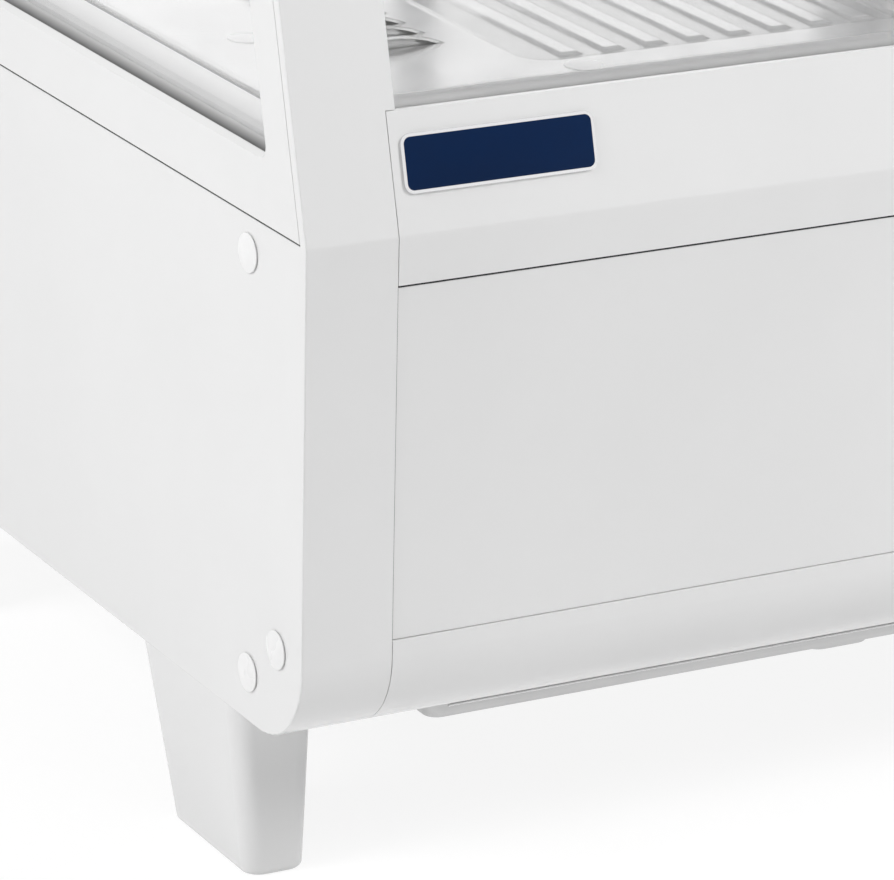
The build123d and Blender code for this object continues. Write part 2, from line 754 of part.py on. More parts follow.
def sunk_field():
    """Shallow sunk field of the deck, its border a soft slope."""
    plan = RectangleRounded(2 * FIELD_HALF, FIELD_LENGTH, FIELD_RADIUS)
    place = Pos(0, FIELD_Y, DECK_Z) * Rot(180, 0, 0)
    taper = math.degrees(math.atan(FIELD_SLOPE / FIELD_DEPTH))
    return extrude(place * plan, FIELD_DEPTH, taper=taper)


def ribs():
    """Raised ribs side by side along the sunk field."""
    made = []
    for index in range(-RIBS_EACH_SIDE, RIBS_EACH_SIDE + 1):
        place = Pos(index * RIB_PITCH, FIELD_Y, DECK_Z - FIELD_DEPTH)
        made.append(extrude(place * Rectangle(RIB_WIDTH, RIB_LENGTH), RIB_HEIGHT, taper=RIB_TAPER))
    return made


def rolled_block(inset):
    """Deck outline in a block, its front and side edges rolled, drawn in by an inset."""
    x = (-INSIDE + inset, INSIDE - inset)
    y = (DECK_EDGE + inset, REAR_POST_FRONT - inset)
    z = (GLASS_BOTTOM, DECK_Z - inset)
    front_rolled = block(x, y, z)
    front_edge = front_rolled.edges().filter_by(Axis.X).group_by(Axis.Z)[-1].sort_by(Axis.Y)[0]
    front_rolled = fillet(front_edge, DECK_ROLL - inset)
    side_rolled = block(x, y, z)
    side_edges = side_rolled.edges().filter_by(Axis.Y).group_by(Axis.Z)[-1]
    return front_rolled & fillet(side_edges, DECK_SIDE_ROLL - inset)


def deck():
    """Pressed sheet floor: rolled edges, sunk field with ribs, louvres at both ends."""
    sheet = rolled_block(0) - rolled_block(DECK_SHEET)
    sheet += Pos(0, 0, -DECK_SHEET) * sunk_field()
    sheet -= sunk_field()
    sheet += ribs()
    sheet -= [Pos(0, 0, -DECK_SHEET) * rib for rib in ribs()]
    hoods = []
    mouths = []
    for index in range(LOUVRE_COUNT):
        mouth_y = FRONT + LOUVRE_FRONT + index * LOUVRE_PITCH
        for side in (-1, 1):
            place = Pos(side * LOUVRE_X, mouth_y, DECK_Z)
            hoods.append(place * louvre_hood())
            mouths.append(place * louvre_mouth())
    return sheet - mouths + hoods


# Shelves


def slot_z(index):
    """Middle height of a slot in the uprights."""
    return DECK_Z + SLOT_LOW + index * SLOT_PITCH


def upright():
    """Slotted upright at the left back corner, from deck to ceiling."""
    x = (-INSIDE, -INSIDE + UPRIGHT_WIDTH)
    y = (REAR_POST_FRONT - UPRIGHT_DEPTH, REAR_POST_FRONT)
    z = (DECK_Z, CEILING_Z)
    tube = block(x, y, z)
    tube -= block((x[0] + UPRIGHT_WALL, x[1] - UPRIGHT_WALL), (y[0] + UPRIGHT_WALL, y[1] - UPRIGHT_WALL), z)
    middle = sum(x) / 2
    for index in range(SLOT_COUNT):
        low = slot_z(index) - SLOT_HEIGHT / 2
        slot_x = (middle - SLOT_WIDTH / 2, middle + SLOT_WIDTH / 2)
        tube -= block(slot_x, (y[0], y[0] + UPRIGHT_WALL), (low, low + SLOT_HEIGHT))
    return tube


def shelf_ends(slot):
    """Front and back edge of a shelf and the height of its underside."""
    low = slot_z(slot) + SLOT_HEIGHT
    front = raked_y(BEAM_BACK, low + SHELF_RIM + SHELF_WIRE) + SHELF_FRONT_GAP
    return front, REAR_POST_FRONT - UPRIGHT_DEPTH - SHELF_BACK_GAP, low


def bracket(slot):
    """Cantilever arm with two hooks in the left upright."""
    root = REAR_POST_FRONT - UPRIGHT_DEPTH
    tip, _, top = shelf_ends(slot)
    x = -INSIDE + UPRIGHT_WIDTH / 2 - BRACKET_SHEET / 2
    arm = polygon((root, top), (tip, top), (tip, top - BRACKET_TIP), (root, top - BRACKET_ROOT))
    plate = across(arm, x, x + BRACKET_SHEET)
    for index in (slot, slot - 1):
        low = slot_z(index) - SLOT_HEIGHT / 2
        plate += block((x, x + BRACKET_SHEET), (root, root + HOOK_DEPTH), (low, low + HOOK_HEIGHT))
    return plate


def wire_shelf(slot):
    """Welded wire shelf that lies on its two brackets."""
    half = INSIDE - SHELF_SIDE_GAP
    front, back, low = shelf_ends(slot)
    z = low + SHELF_RIM / 2
    wire_z = z + (SHELF_RIM + SHELF_WIRE) / 2 - SHELF_WELD
    rims = []
    for y in (front + SHELF_RIM, (front + back) / 2, back - SHELF_RIM):
        rims.append(rod((-half, half), y, z, SHELF_RIM / 2))
    count = int(2 * (half - SHELF_RIM) / SHELF_PITCH)
    wires = []
    for index in range(count + 1):
        x = (index - count / 2) * SHELF_PITCH
        wires.append(rod(x, (front, back), wire_z, SHELF_WIRE / 2))
    return rims[0] + rims[1:] + wires


# Rear


def channel_middles():
    """Y of the inner and the outer door channel."""
    inner = REAR_POST_FRONT + TRACK_FRONT_MARGIN + TRACK_RIB + TRACK_CHANNEL / 2
    return (inner, inner + TRACK_CHANNEL + TRACK_RIB)


def track_ribs(z):
    """Three ribs that guide the doors."""
    inner, outer = channel_middles()
    step = (TRACK_CHANNEL + TRACK_RIB) / 2
    ribs = []
    for y in (inner - step, inner + step, outer + step):
        ribs.append(block((-POST_IN, POST_IN), (y - TRACK_RIB / 2, y + TRACK_RIB / 2), z))
    return ribs


def track_box(z):
    """Hollow bar that a track's ribs stand on."""
    y = (REAR_POST_FRONT, REAR_INNER)
    x = (-POST_IN, POST_IN)
    hollow_y = (y[0] + TRACK_WALL, y[1] - TRACK_WALL)
    hollow_z = (z[0] + TRACK_WALL, z[1] - TRACK_WALL)
    return block(x, y, z) - block(x, hollow_y, hollow_z)


def bottom_track():
    """Lower door track on the sill frame."""
    ribs = track_ribs((TRACK_FLOOR, TRACK_FLOOR + TRACK_RIB_HEIGHT))
    return track_box((SILL_TOP, TRACK_FLOOR)) + ribs


def top_track():
    """Upper door track under the canopy roof."""
    ribs = track_ribs((TRACK_CEILING - TOP_RIB_HEIGHT, TRACK_CEILING))
    return track_box((TRACK_CEILING, HEIGHT - SKIN)) + ribs


def door_pane(x, y):
    """Pane of a sliding door, let into its frame."""
    edge = DOOR_BAR - DOOR_PANE_INSET
    z = (TRACK_FLOOR + DOOR_LIFT + edge, TRACK_CEILING - DOOR_TOP_GAP - edge)
    return block((x[0] + edge, x[1] - edge), (y - DOOR_PANE / 2, y + DOOR_PANE / 2), z)


def door_frame(x, y, grip_x):
    """Four bars round a door pane, with a finger grip in one stile."""
    thick = (y - DOOR_THICKNESS / 2, y + DOOR_THICKNESS / 2)
    z = (TRACK_FLOOR + DOOR_LIFT, TRACK_CEILING - DOOR_TOP_GAP)
    frame = block(x, thick, z)
    frame -= block((x[0] + DOOR_BAR, x[1] - DOOR_BAR), thick, (z[0] + DOOR_BAR, z[1] - DOOR_BAR))
    frame -= door_pane(x, y)
    grip = Plane.XZ * Pos(grip_x, sum(z) / 2) * SlotOverall(GRIP_LENGTH, GRIP_WIDTH, rotation=90)
    return frame - Pos(0, thick[1], 0) * extrude(grip, GRIP_DEPTH)


def door_glides(x, y):
    """Two nylon blocks under a door, just clear of the track."""
    half = TRACK_CHANNEL / 2 - RUN_GAP
    z = (TRACK_FLOOR + RUN_GAP, TRACK_FLOOR + DOOR_LIFT)
    left = block((x[0] + DOOR_BAR, x[0] + DOOR_BAR + GLIDE_LENGTH), (y - half, y + half), z)
    right = block((x[1] - DOOR_BAR - GLIDE_LENGTH, x[1] - DOOR_BAR), (y - half, y + half), z)
    return [left, right]


def rear_panel():
    """Lower rear sheet with air slots, the control opening and the gland hole."""
    y = (REAR_INNER, REAR_FACE)
    panel = block((-PANEL_HALF, PANEL_HALF), y, (BODY_BOTTOM, TRACK_FLOOR))
    for x in (COMPRESSOR_X, CONDENSER_X):
        for row in range(VENT_ROWS):
            place = Pos(x, BODY_BOTTOM + VENT_LOW + row * VENT_PITCH)
            slot = Plane.XZ * place * SlotOverall(VENT_LENGTH, VENT_WIDTH)
            panel -= Pos(0, y[1], 0) * extrude(slot, REAR_PANEL_SHEET)
    half_x = BEZEL_WIDTH / 2 - BEZEL_LAP
    half_z = BEZEL_HEIGHT / 2 - BEZEL_LAP
    panel -= block(
        (CONTROL_X - half_x, CONTROL_X + half_x), y, (CONTROL_Z - half_z, CONTROL_Z + half_z)
    )
    return panel - rod(GLAND_X, y, BODY_BOTTOM + GLAND_HEIGHT, GLAND_DIAMETER / 2 - REAR_PANEL_SHEET)


def cable_gland():
    """Round bush in the rear panel for the supply lead."""
    z = BODY_BOTTOM + GLAND_HEIGHT
    bush = rod(GLAND_X, (REAR_FACE, REAR_FACE + REAR_PANEL_SHEET), z, GLAND_DIAMETER / 2)
    bush += rod(GLAND_X, (REAR_INNER, REAR_FACE), z, GLAND_DIAMETER / 2 - REAR_PANEL_SHEET)
    return bush - rod(GLAND_X, (REAR_INNER, REAR_FACE + REAR_PANEL_SHEET), z, GLAND_BORE / 2)


# Controls


def button_x(index):
    """X of a thermostat button."""
    return CONTROL_X + CONTROLLER_SHIFT + BUTTON_SHIFT + (index - 1) * BUTTON_PITCH


def rocker_x(index):
    """X of a rocker switch."""
    return CONTROL_X + ROCKER_SHIFT + index * ROCKER_PITCH


def button(index):
    """Round push button of the thermostat."""
    y = (BUTTON_FACE - BUTTON_LENGTH, BUTTON_FACE)
    cap = rod(button_x(index), y, CONTROL_Z, BUTTON_DIAMETER / 2)
    return fillet(cap.edges().sort_by(Axis.Y)[-1], BUTTON_PROUD / 2)


def display_window():
    """Dark window over the temperature display."""
    x = CONTROL_X + CONTROLLER_SHIFT + DISPLAY_SHIFT
    return block(
        (x - DISPLAY_WIDTH / 2, x + DISPLAY_WIDTH / 2),
        (BEZEL_FACE - DISPLAY_DEPTH, BEZEL_FACE),
        (CONTROL_Z - DISPLAY_HEIGHT / 2, CONTROL_Z + DISPLAY_HEIGHT / 2),
    )


def rocker_well(index, grow):
    """Box round a rocker, its opening or its outer wall."""
    half_x = ROCKER_WIDTH / 2 + ROCKER_GAP + grow
    half_z = ROCKER_RADIUS + ROCKER_GAP + grow
    x = rocker_x(index)
    inner = ROCKER_PIVOT_Y - ROCKER_RADIUS - ROCKER_GAP - grow
    return block((x - half_x, x + half_x), (inner, BEZEL_FACE), (CONTROL_Z - half_z, CONTROL_Z + half_z))


def control_bezel():
    """Front plate of the controls with the controller housing and the switch wells."""
    plate = Plane.XZ * Pos(CONTROL_X, CONTROL_Z) * RectangleRounded(BEZEL_WIDTH, BEZEL_HEIGHT, BEZEL_ROUND)
    bezel = Pos(0, BEZEL_FACE, 0) * extrude(plate, BEZEL_THICKNESS)
    x = CONTROL_X + CONTROLLER_SHIFT
    bezel += block(
        (x - CONTROLLER_WIDTH / 2, x + CONTROLLER_WIDTH / 2),
        (REAR_FACE - CONTROLLER_DEPTH, REAR_FACE),
        (CONTROL_Z - CONTROLLER_HEIGHT / 2, CONTROL_Z + CONTROLLER_HEIGHT / 2),
    )
    for index in range(2):
        outer = rocker_well(index, WELL_WALL)
        bezel += outer - rocker_well(index, 0)
        bezel -= rocker_well(index, 0)
        reach = ROCKER_WIDTH / 2 + ROCKER_PIN_REACH + ROCKER_GAP
        pivot = rod(
            (rocker_x(index) - reach, rocker_x(index) + reach),
            ROCKER_PIVOT_Y,
            CONTROL_Z,
            ROCKER_PIN / 2 + SHAFT_CLEARANCE,
        )
        bezel -= pivot
    for index in range(3):
        end = BUTTON_FACE - BUTTON_LENGTH - BUTTON_TRAVEL - BUTTON_GAP
        bezel -= rod(button_x(index), (end, BEZEL_FACE), CONTROL_Z, BUTTON_DIAMETER / 2 + BUTTON_GAP)
    return bezel - display_window()


def rocker(index):
    """Rocker switch, tipped to its lower stop, with its pivot pins."""
    half_disc = Circle(ROCKER_RADIUS) & Pos(-ROCKER_RADIUS + ROCKER_PROUD / 2, 0) * Rectangle(
        2 * ROCKER_RADIUS + ROCKER_PROUD, 2 * ROCKER_RADIUS
    )
    notch = polygon(
        (ROCKER_PROUD, ROCKER_RADIUS), (ROCKER_PROUD - ROCKER_NOTCH, 0), (ROCKER_PROUD, -ROCKER_RADIUS)
    )
    body = across(half_disc - notch, -ROCKER_WIDTH / 2, ROCKER_WIDTH / 2)
    pin = ROCKER_WIDTH / 2 + ROCKER_PIN_REACH
    body += rod((-pin, pin), 0, 0, ROCKER_PIN / 2)
    return Pos(rocker_x(index), ROCKER_PIVOT_Y, CONTROL_Z) * Rot(ROCKER_TILT, 0, 0) * body


# Base, feet and caps


def recess(top, drop, grow):
    """Tapered drawn recess of the base pan."""
    half = HALF - RECESS_FROM_SIDE - grow
    front = FRONT + RECESS_FRONT + grow
    back = BACK - RECESS_BACK - grow
    plan = RectangleRounded(2 * half, back - front, RECESS_RADIUS)
    place = Pos(0, (front + back) / 2, top) * Rot(180, 0, 0)
    return extrude(place * plan, drop, taper=RECESS_TAPER)


def pan_boss(bottom, shrink):
    """Smaller drawn boss at the front of the recess."""
    plan = RectangleRounded(BOSS_WIDTH - 2 * shrink, BOSS_LENGTH - 2 * shrink, BOSS_WIDTH / 4)
    place = Pos(0, FRONT + BOSS_FRONT + BOSS_LENGTH / 2, PAN_FLOOR) * Rot(180, 0, 0)
    return extrude(place * plan, PAN_FLOOR - bottom, taper=RECESS_TAPER)


def base_pan():
    """Galvanised floor sheet with its drawn recess and rear flange."""
    x = (-HALF + SKIN, HALF - SKIN)
    low = BODY_BOTTOM + SKIN
    front = FRONT + BOTTOM_RADIUS
    pan = block(x, (front, REAR_INNER), (low, PAN_TOP))
    panel_x = (-PANEL_HALF, PANEL_HALF)
    pan += block(panel_x, (REAR_INNER - PAN_SHEET, REAR_INNER), (low, low + PAN_FLANGE))
    pan += recess(low, SKIN + RECESS_DROP, 0)
    boss_bottom = BODY_BOTTOM - RECESS_DROP - BOSS_DROP
    pan += pan_boss(boss_bottom, 0)
    pan -= recess(PAN_TOP, SKIN + RECESS_DROP, PAN_SHEET)
    pan -= pan_boss(boss_bottom + PAN_SHEET, PAN_SHEET)
    for x in (foot_bolt_x(), -foot_bolt_x()):
        for y in foot_bolt_y():
            pan -= rod(x, y, (low, PAN_TOP), BOLT / 2 + BOLT_CLEARANCE)
    return pan


def foot_section(setback, z, inset):
    """Rounded outline of a front left foot at a height, at a distance behind the front."""
    share = 1 - z / FOOT_HEIGHT
    left = -HALF + FOOT_FROM_SIDE + FOOT_TAPER_OUT * share + inset
    right = -HALF + FOOT_FROM_SIDE + FOOT_WIDTH - FOOT_TAPER_IN * share - inset
    front = FRONT + setback + FOOT_TAPER_FRONT * share + inset
    back = FRONT + setback + FOOT_LENGTH - FOOT_TAPER_BACK * share - inset
    plan = RectangleRounded(right - left, back - front, FOOT_RADIUS - inset)
    return Pos((left + right) / 2, (front + back) / 2, z) * plan


def foot(setback):
    """Hollow tapered front left foot with a boss for its bolt."""
    body = loft([foot_section(setback, 0, 0), foot_section(setback, FOOT_HEIGHT, 0)])
    body = fillet(body.faces().sort_by(Axis.Z)[0].edges(), FOOT_EDGE)
    hollow = loft(
        [foot_section(setback, FOOT_FLOOR, FOOT_WALL), foot_section(setback, FOOT_HEIGHT, FOOT_WALL)]
    )
    x = foot_bolt_x()
    y = FRONT + setback + FOOT_LENGTH / 2
    hollow -= rod(x, y, (FOOT_FLOOR, FOOT_HEIGHT), FOOT_BOSS / 2)
    body -= hollow
    return body - rod(x, y, (FOOT_HEIGHT - BOLT_REACH, FOOT_HEIGHT), BOLT / 2)


def foot_bolt(x, y):
    """Hexagon bolt through the pan and the end panel into a foot."""
    shank = rod(x, y, (FOOT_HEIGHT - BOLT_REACH, PAN_TOP), BOLT / 2)
    head = RegularPolygon(BOLT_HEAD / 2, 6, major_radius=False)
    return shank + extrude(Pos(x, y, PAN_TOP) * head, BOLT_HEAD_HEIGHT)


def domed_disc(low, rim, high):
    """Disc of the cap's diameter from a low face over a straight rim to a domed top."""
    radius = CAP_DIAMETER / 2
    crown = high - low - rim
    dome = (radius**2 + crown**2) / (2 * crown)
    return rod(0, 0, (low, high), radius) & Pos(0, 0, high - dome) * Sphere(dome)


def cap():
    """Low domed screw cap on a short stem, its rim just off the panel."""
    return domed_disc(CAP_RIM_GAP, CAP_RIM, CAP_HEIGHT) + rod(0, 0, (0, CAP_RIM_GAP), CAP_STEM / 2)


def screw_caps():
    """All screw caps: three at each corner of the sides and four plugs on the deck."""
    caps = []
    places = [(UPPER_SIDE_CAP[0], KNEE_Z - UPPER_SIDE_CAP[1])]
    places += [(y, BODY_BOTTOM + z) for y, z in LOWER_SIDE_CAPS]
    for y, z in places:
        for mid_y in (FRONT + y, BACK - y):
            caps += both_sides(Pos(-HALF, mid_y, z) * Rot(0, -90, 0) * cap())
    plug = domed_disc(0, DECK_PLUG_RIM, DECK_PLUG_HEIGHT)
    for x, y in (DECK_PLUG_FRONT, DECK_PLUG_SIDE):
        caps += both_sides(Pos(-HALF + x, FRONT + y, DECK_Z) * plug)
    return caps


# Cooling


def fin_block(x, y, z, bends):
    """Finned coil: grooved core with return bends at both ends."""
    core = block(x, y, z)
    grooves = []
    for index in range(int((x[1] - x[0]) / FIN_PITCH)):
        left = x[0] + (index + 0.5) * FIN_PITCH
        for low in (y[0], y[1] - FIN_GROOVE):
            grooves.append(block((left, left + FIN_PITCH / 2), (low, low + FIN_GROOVE), z))
    core -= grooves
    bend = Rot(90, 0, 0) * Torus(BEND_RADIUS, LINE_DIAMETER / 2)
    step = (z[1] - z[0]) / bends
    reach = BEND_RADIUS + LINE_DIAMETER
    for index in range(bends):
        middle = z[0] + (index + 0.5) * step
        for end, side in ((x[0], (-reach, 0)), (x[1], (0, reach))):
            half = bend & block(side, (-reach, reach), (-reach, reach))
            core += Pos(end, sum(y) / 2, middle) * half
    return core


def evaporator_coil():
    """Finned evaporator on the tub floor."""
    x = (-COIL_LENGTH / 2, COIL_LENGTH / 2)
    y = (COIL_Y - COIL_DEPTH / 2, COIL_Y + COIL_DEPTH / 2)
    return fin_block(x, y, (TUB_FLOOR, TUB_FLOOR + COIL_HEIGHT), 1)


def condenser():
    """Finned condenser standing in the pan recess."""
    y = (CONDENSER_Y - CONDENSER_DEPTH / 2, CONDENSER_Y + CONDENSER_DEPTH / 2)
    return fin_block((CONDENSER_LEFT, CONDENSER_RIGHT), y, (PAN_FLOOR, PAN_FLOOR + CONDENSER_HEIGHT), 2)


def tub_lines():
    """X and Y where the suction and the liquid line pass the tub floor."""
    return ((COMPRESSOR_X + STUB_OFFSET, LINE_Y), (CONDENSER_LEFT - DRIER_FROM_CONDENSER, LINE_Y))


def tub():
    """Insulated tub that hangs under the sill frame."""
    wide = HALF - SKIN
    body = block((-wide, wide), (TUB_FRONT, TUB_BACK), (TUB_BOTTOM, TUB_TOP))
    inner_x = (-wide + TUB_WALL, wide - TUB_WALL)
    inner = block(inner_x, (TUB_FRONT + TUB_WALL, TUB_BACK - TUB_WALL), (TUB_FLOOR, TUB_TOP))
    body -= fillet(inner.edges().filter_by(Axis.Z), TUB_RADIUS)
    body -= rod(0, DRAIN_Y, (TUB_BOTTOM, TUB_FLOOR), DRAIN_BORE / 2)
    for x, y in tub_lines():
        body -= rod(x, y, (TUB_BOTTOM, TUB_FLOOR), LINE_DIAMETER / 2)
    return body


def drain_hose():
    """Hose from the tub drain down to the condensate tray."""
    z = (PAN_FLOOR + DRAIN_OVER_TRAY, TUB_BOTTOM)
    hose = rod(0, DRAIN_Y, z, DRAIN_BORE / 2 + DRAIN_WALL)
    return hose - rod(0, DRAIN_Y, z, DRAIN_BORE / 2)


def condensate_tray():
    """Open tray under the drain hose, in the pan recess."""
    half = TRAY_WIDTH / 2
    y = (DRAIN_Y - TRAY_LENGTH / 2, DRAIN_Y + TRAY_LENGTH / 2)
    z = (PAN_FLOOR, PAN_FLOOR + TRAY_HEIGHT)
    tray = block((-half, half), y, z)
    hollow = half - TRAY_WALL
    return tray - block((-hollow, hollow), (y[0] + TRAY_WALL, y[1] - TRAY_WALL), (z[0] + TRAY_WALL, z[1]))


def blade_tip(radius):
    """Half width of a fan blade at its tip."""
    return TIP_SHARE * radius * math.sin(math.pi / FAN_BLADES)


def fan_swing(radius):
    """Half depth of the space that the blades sweep."""
    return blade_tip(radius) * math.sin(math.radians(BLADE_PITCH)) + FAN_SHEET


def fan_wheel(radius):
    """Bladed wheel about Y, its hub open to the back for the shaft."""
    hub_radius = radius * HUB_SHARE
    hub = Cylinder(hub_radius, HUB_LENGTH)
    hub -= Pos(0, 0, -FAN_SHEET) * Cylinder(SHAFT / 2 + SHAFT_CLEARANCE, HUB_LENGTH)
    root = hub_radius * math.sin(math.pi / FAN_BLADES)
    tip = blade_tip(radius)
    plan = polygon((0, -root), (radius, -tip), (radius, tip), (0, root))
    blade = Rot(BLADE_PITCH, 0, 0) * extrude(plan, FAN_SHEET / 2, both=True)
    blade &= Cylinder(radius, 2 * radius)
    blade -= Cylinder(hub_radius - FAN_SHEET, 2 * radius)
    blades = [Rot(0, 0, index * 360 / FAN_BLADES) * blade for index in range(FAN_BLADES)]
    return Rot(90, 0, 0) * (hub + blades)


def fan_frame(radius, floor):
    """Fan housing about Y, the wheel's middle at the origin and the motor towards +Y."""
    swing = fan_swing(radius)
    bore = radius + FAN_CLEARANCE
    half = bore + FAN_PLATE
    plate_y = (-swing - FAN_CLEARANCE - FAN_PLATE, -swing - FAN_CLEARANCE)
    frame = block((-half, half), plate_y, (-half, half))
    frame += rod(0, (plate_y[1], swing), 0, bore + FAN_SHEET)
    frame -= rod(0, (plate_y[0], swing), 0, bore)
    bar_y = (swing + FAN_CLEARANCE, swing + FAN_CLEARANCE + FAN_PLATE)
    for x in ((-half, -half + FAN_PLATE), (half - FAN_PLATE, half)):
        frame += block(x, (plate_y[0], bar_y[1]), (-FAN_PLATE, FAN_PLATE))
        frame += block(x, plate_y, (-floor, -half))
    frame += block((-half, half), bar_y, (-FAN_PLATE, FAN_PLATE))
    frame += rod(0, (bar_y[0], bar_y[0] + MOTOR_LENGTH), 0, radius * HUB_SHARE)
    return frame + rod(0, (-HUB_LENGTH / 2 + 2 * FAN_SHEET, bar_y[0]), 0, SHAFT / 2)


def evaporator_fan_place():
    """Middle of the evaporator fan."""
    half = EVAPORATOR_FAN_RADIUS + FAN_RIM
    return (0, COIL_Y - EVAPORATOR_FAN_FROM_COIL, TUB_FLOOR + half + FAN_PLATE)


def condenser_fan_place():
    """Middle of the condenser fan, its ring against the condenser."""
    half = CONDENSER_FAN_RADIUS + FAN_RIM
    y = CONDENSER_Y - CONDENSER_DEPTH / 2 - FAN_RIM - fan_swing(CONDENSER_FAN_RADIUS)
    return (CONDENSER_X, y, PAN_FLOOR + half + FAN_PLATE)


def compressor():
    """Hermetic compressor: domed can with rim, foot plate and two tube stubs."""
    low = COMPRESSOR_BASE
    middle = Pos(COMPRESSOR_X, COMPRESSOR_Y, low + COMPRESSOR_HEIGHT / 2)
    can = middle * Cylinder(COMPRESSOR_RADIUS, COMPRESSOR_HEIGHT)
    can = fillet(can.edges().filter_by(GeomType.CIRCLE), COMPRESSOR_DOME)
    can += middle * Cylinder(COMPRESSOR_RADIUS + COMPRESSOR_RIM, COMPRESSOR_RIM_HEIGHT)
    half_x = COMPRESSOR_FOOT_LENGTH / 2
    half_y = COMPRESSOR_FOOT_WIDTH / 2
    can += block(
        (COMPRESSOR_X - half_x, COMPRESSOR_X + half_x),
        (COMPRESSOR_Y - half_y, COMPRESSOR_Y + half_y),
        (low, low + COMPRESSOR_FOOT_SHEET),
    )
    back = COMPRESSOR_Y + COMPRESSOR_RADIUS
    can += rod(COMPRESSOR_X + STUB_OFFSET, (COMPRESSOR_Y, back), STUB_Z, STUB_DIAMETER / 2)
    return can + rod((COMPRESSOR_X, STUB_END), COMPRESSOR_Y - STUB_OFFSET / 2, STUB_Z, STUB_DIAMETER / 2)


def compressor_mounts():
    """Four rubber mounts under the compressor foot plate."""
    mounts = []
    for x in (-MOUNT_SPREAD_X, MOUNT_SPREAD_X):
        for y in (-MOUNT_SPREAD_Y, MOUNT_SPREAD_Y):
            place = (COMPRESSOR_X + x, COMPRESSOR_Y + y)
            mounts.append(rod(*place, (PAN_FLOOR, COMPRESSOR_BASE), MOUNT_RADIUS))
    return mounts


def line(*points):
    """Tube along straight runs with round bends."""
    path = FilletPolyline(*points, radius=LINE_BEND)
    section = Plane(path @ 0, z_dir=path % 0) * Circle(LINE_DIAMETER / 2)
    return sweep(section, path)


def drier_ends():
    """Lower and upper end of the filter drier."""
    _, (x, y) = tub_lines()
    low = PAN_FLOOR + CONDENSER_HEIGHT / 2
    return (x, y, low), (x, y, low + DRIER_LENGTH)


def filter_drier():
    """Filter drier in the liquid line."""
    (x, y, low), (_, _, high) = drier_ends()
    body = rod(x, y, (low, high), DRIER_DIAMETER / 2)
    return chamfer(body.edges().filter_by(GeomType.CIRCLE), DRIER_DIAMETER / 4)


def refrigerant_lines():
    """Discharge, liquid and suction lines, each between two fittings."""
    coil_z = TUB_FLOOR + COIL_HEIGHT / 2
    (suction_x, suction_y), (liquid_x, liquid_y) = tub_lines()
    drier_low, drier_high = drier_ends()
    start_y = COMPRESSOR_Y - STUB_OFFSET / 2
    turn_x = (STUB_END + CONDENSER_LEFT) / 2
    discharge_y = CONDENSER_Y - CONDENSER_DEPTH / 4
    outlet_z = PAN_FLOOR + LINE_OVER_PAN
    back = COMPRESSOR_Y + COMPRESSOR_RADIUS
    return [
        line(
            (STUB_END, start_y, STUB_Z),
            (turn_x, start_y, STUB_Z),
            (turn_x, discharge_y, STUB_Z),
            (CONDENSER_LEFT, discharge_y, STUB_Z),
        ),
        line((CONDENSER_LEFT, liquid_y, outlet_z), (liquid_x, liquid_y, outlet_z), drier_low),
        line(drier_high, (liquid_x, liquid_y, coil_z), (liquid_x, COIL_REAR, coil_z)),
        line(
            (suction_x, back, STUB_Z),
            (suction_x, suction_y, STUB_Z),
            (suction_x, suction_y, coil_z),
            (suction_x, COIL_REAR, coil_z),
        ),
    ]


# Nodes

left_end = end_panel()
left_window = window_frame()
front_foot = foot(FOOT_FROM_FRONT)
rear_foot = mirror(foot(FOOT_FROM_BACK), about=Plane.XZ)
inner_y, outer_y = channel_middles()
left_door_x = (-POST_IN + DOOR_END_GAP, DOOR_LAP)
right_door_x = (-DOOR_LAP, POST_IN - DOOR_END_GAP)
bolts = [foot_bolt(x, y) for x in (foot_bolt_x(), -foot_bolt_x()) for y in foot_bolt_y()]
shelf_slots = (LOWER_SHELF_SLOT, UPPER_SHELF_SLOT)
brackets = [piece for slot in shelf_slots for piece in both_sides(bracket(slot))]
evaporator_fan = Pos(*evaporator_fan_place())
evaporator_fan_floor = evaporator_fan_place()[2] - TUB_FLOOR
condenser_fan = Pos(*condenser_fan_place()) * Rot(0, 0, 180)
condenser_fan_floor = condenser_fan_place()[2] - PAN_FLOOR

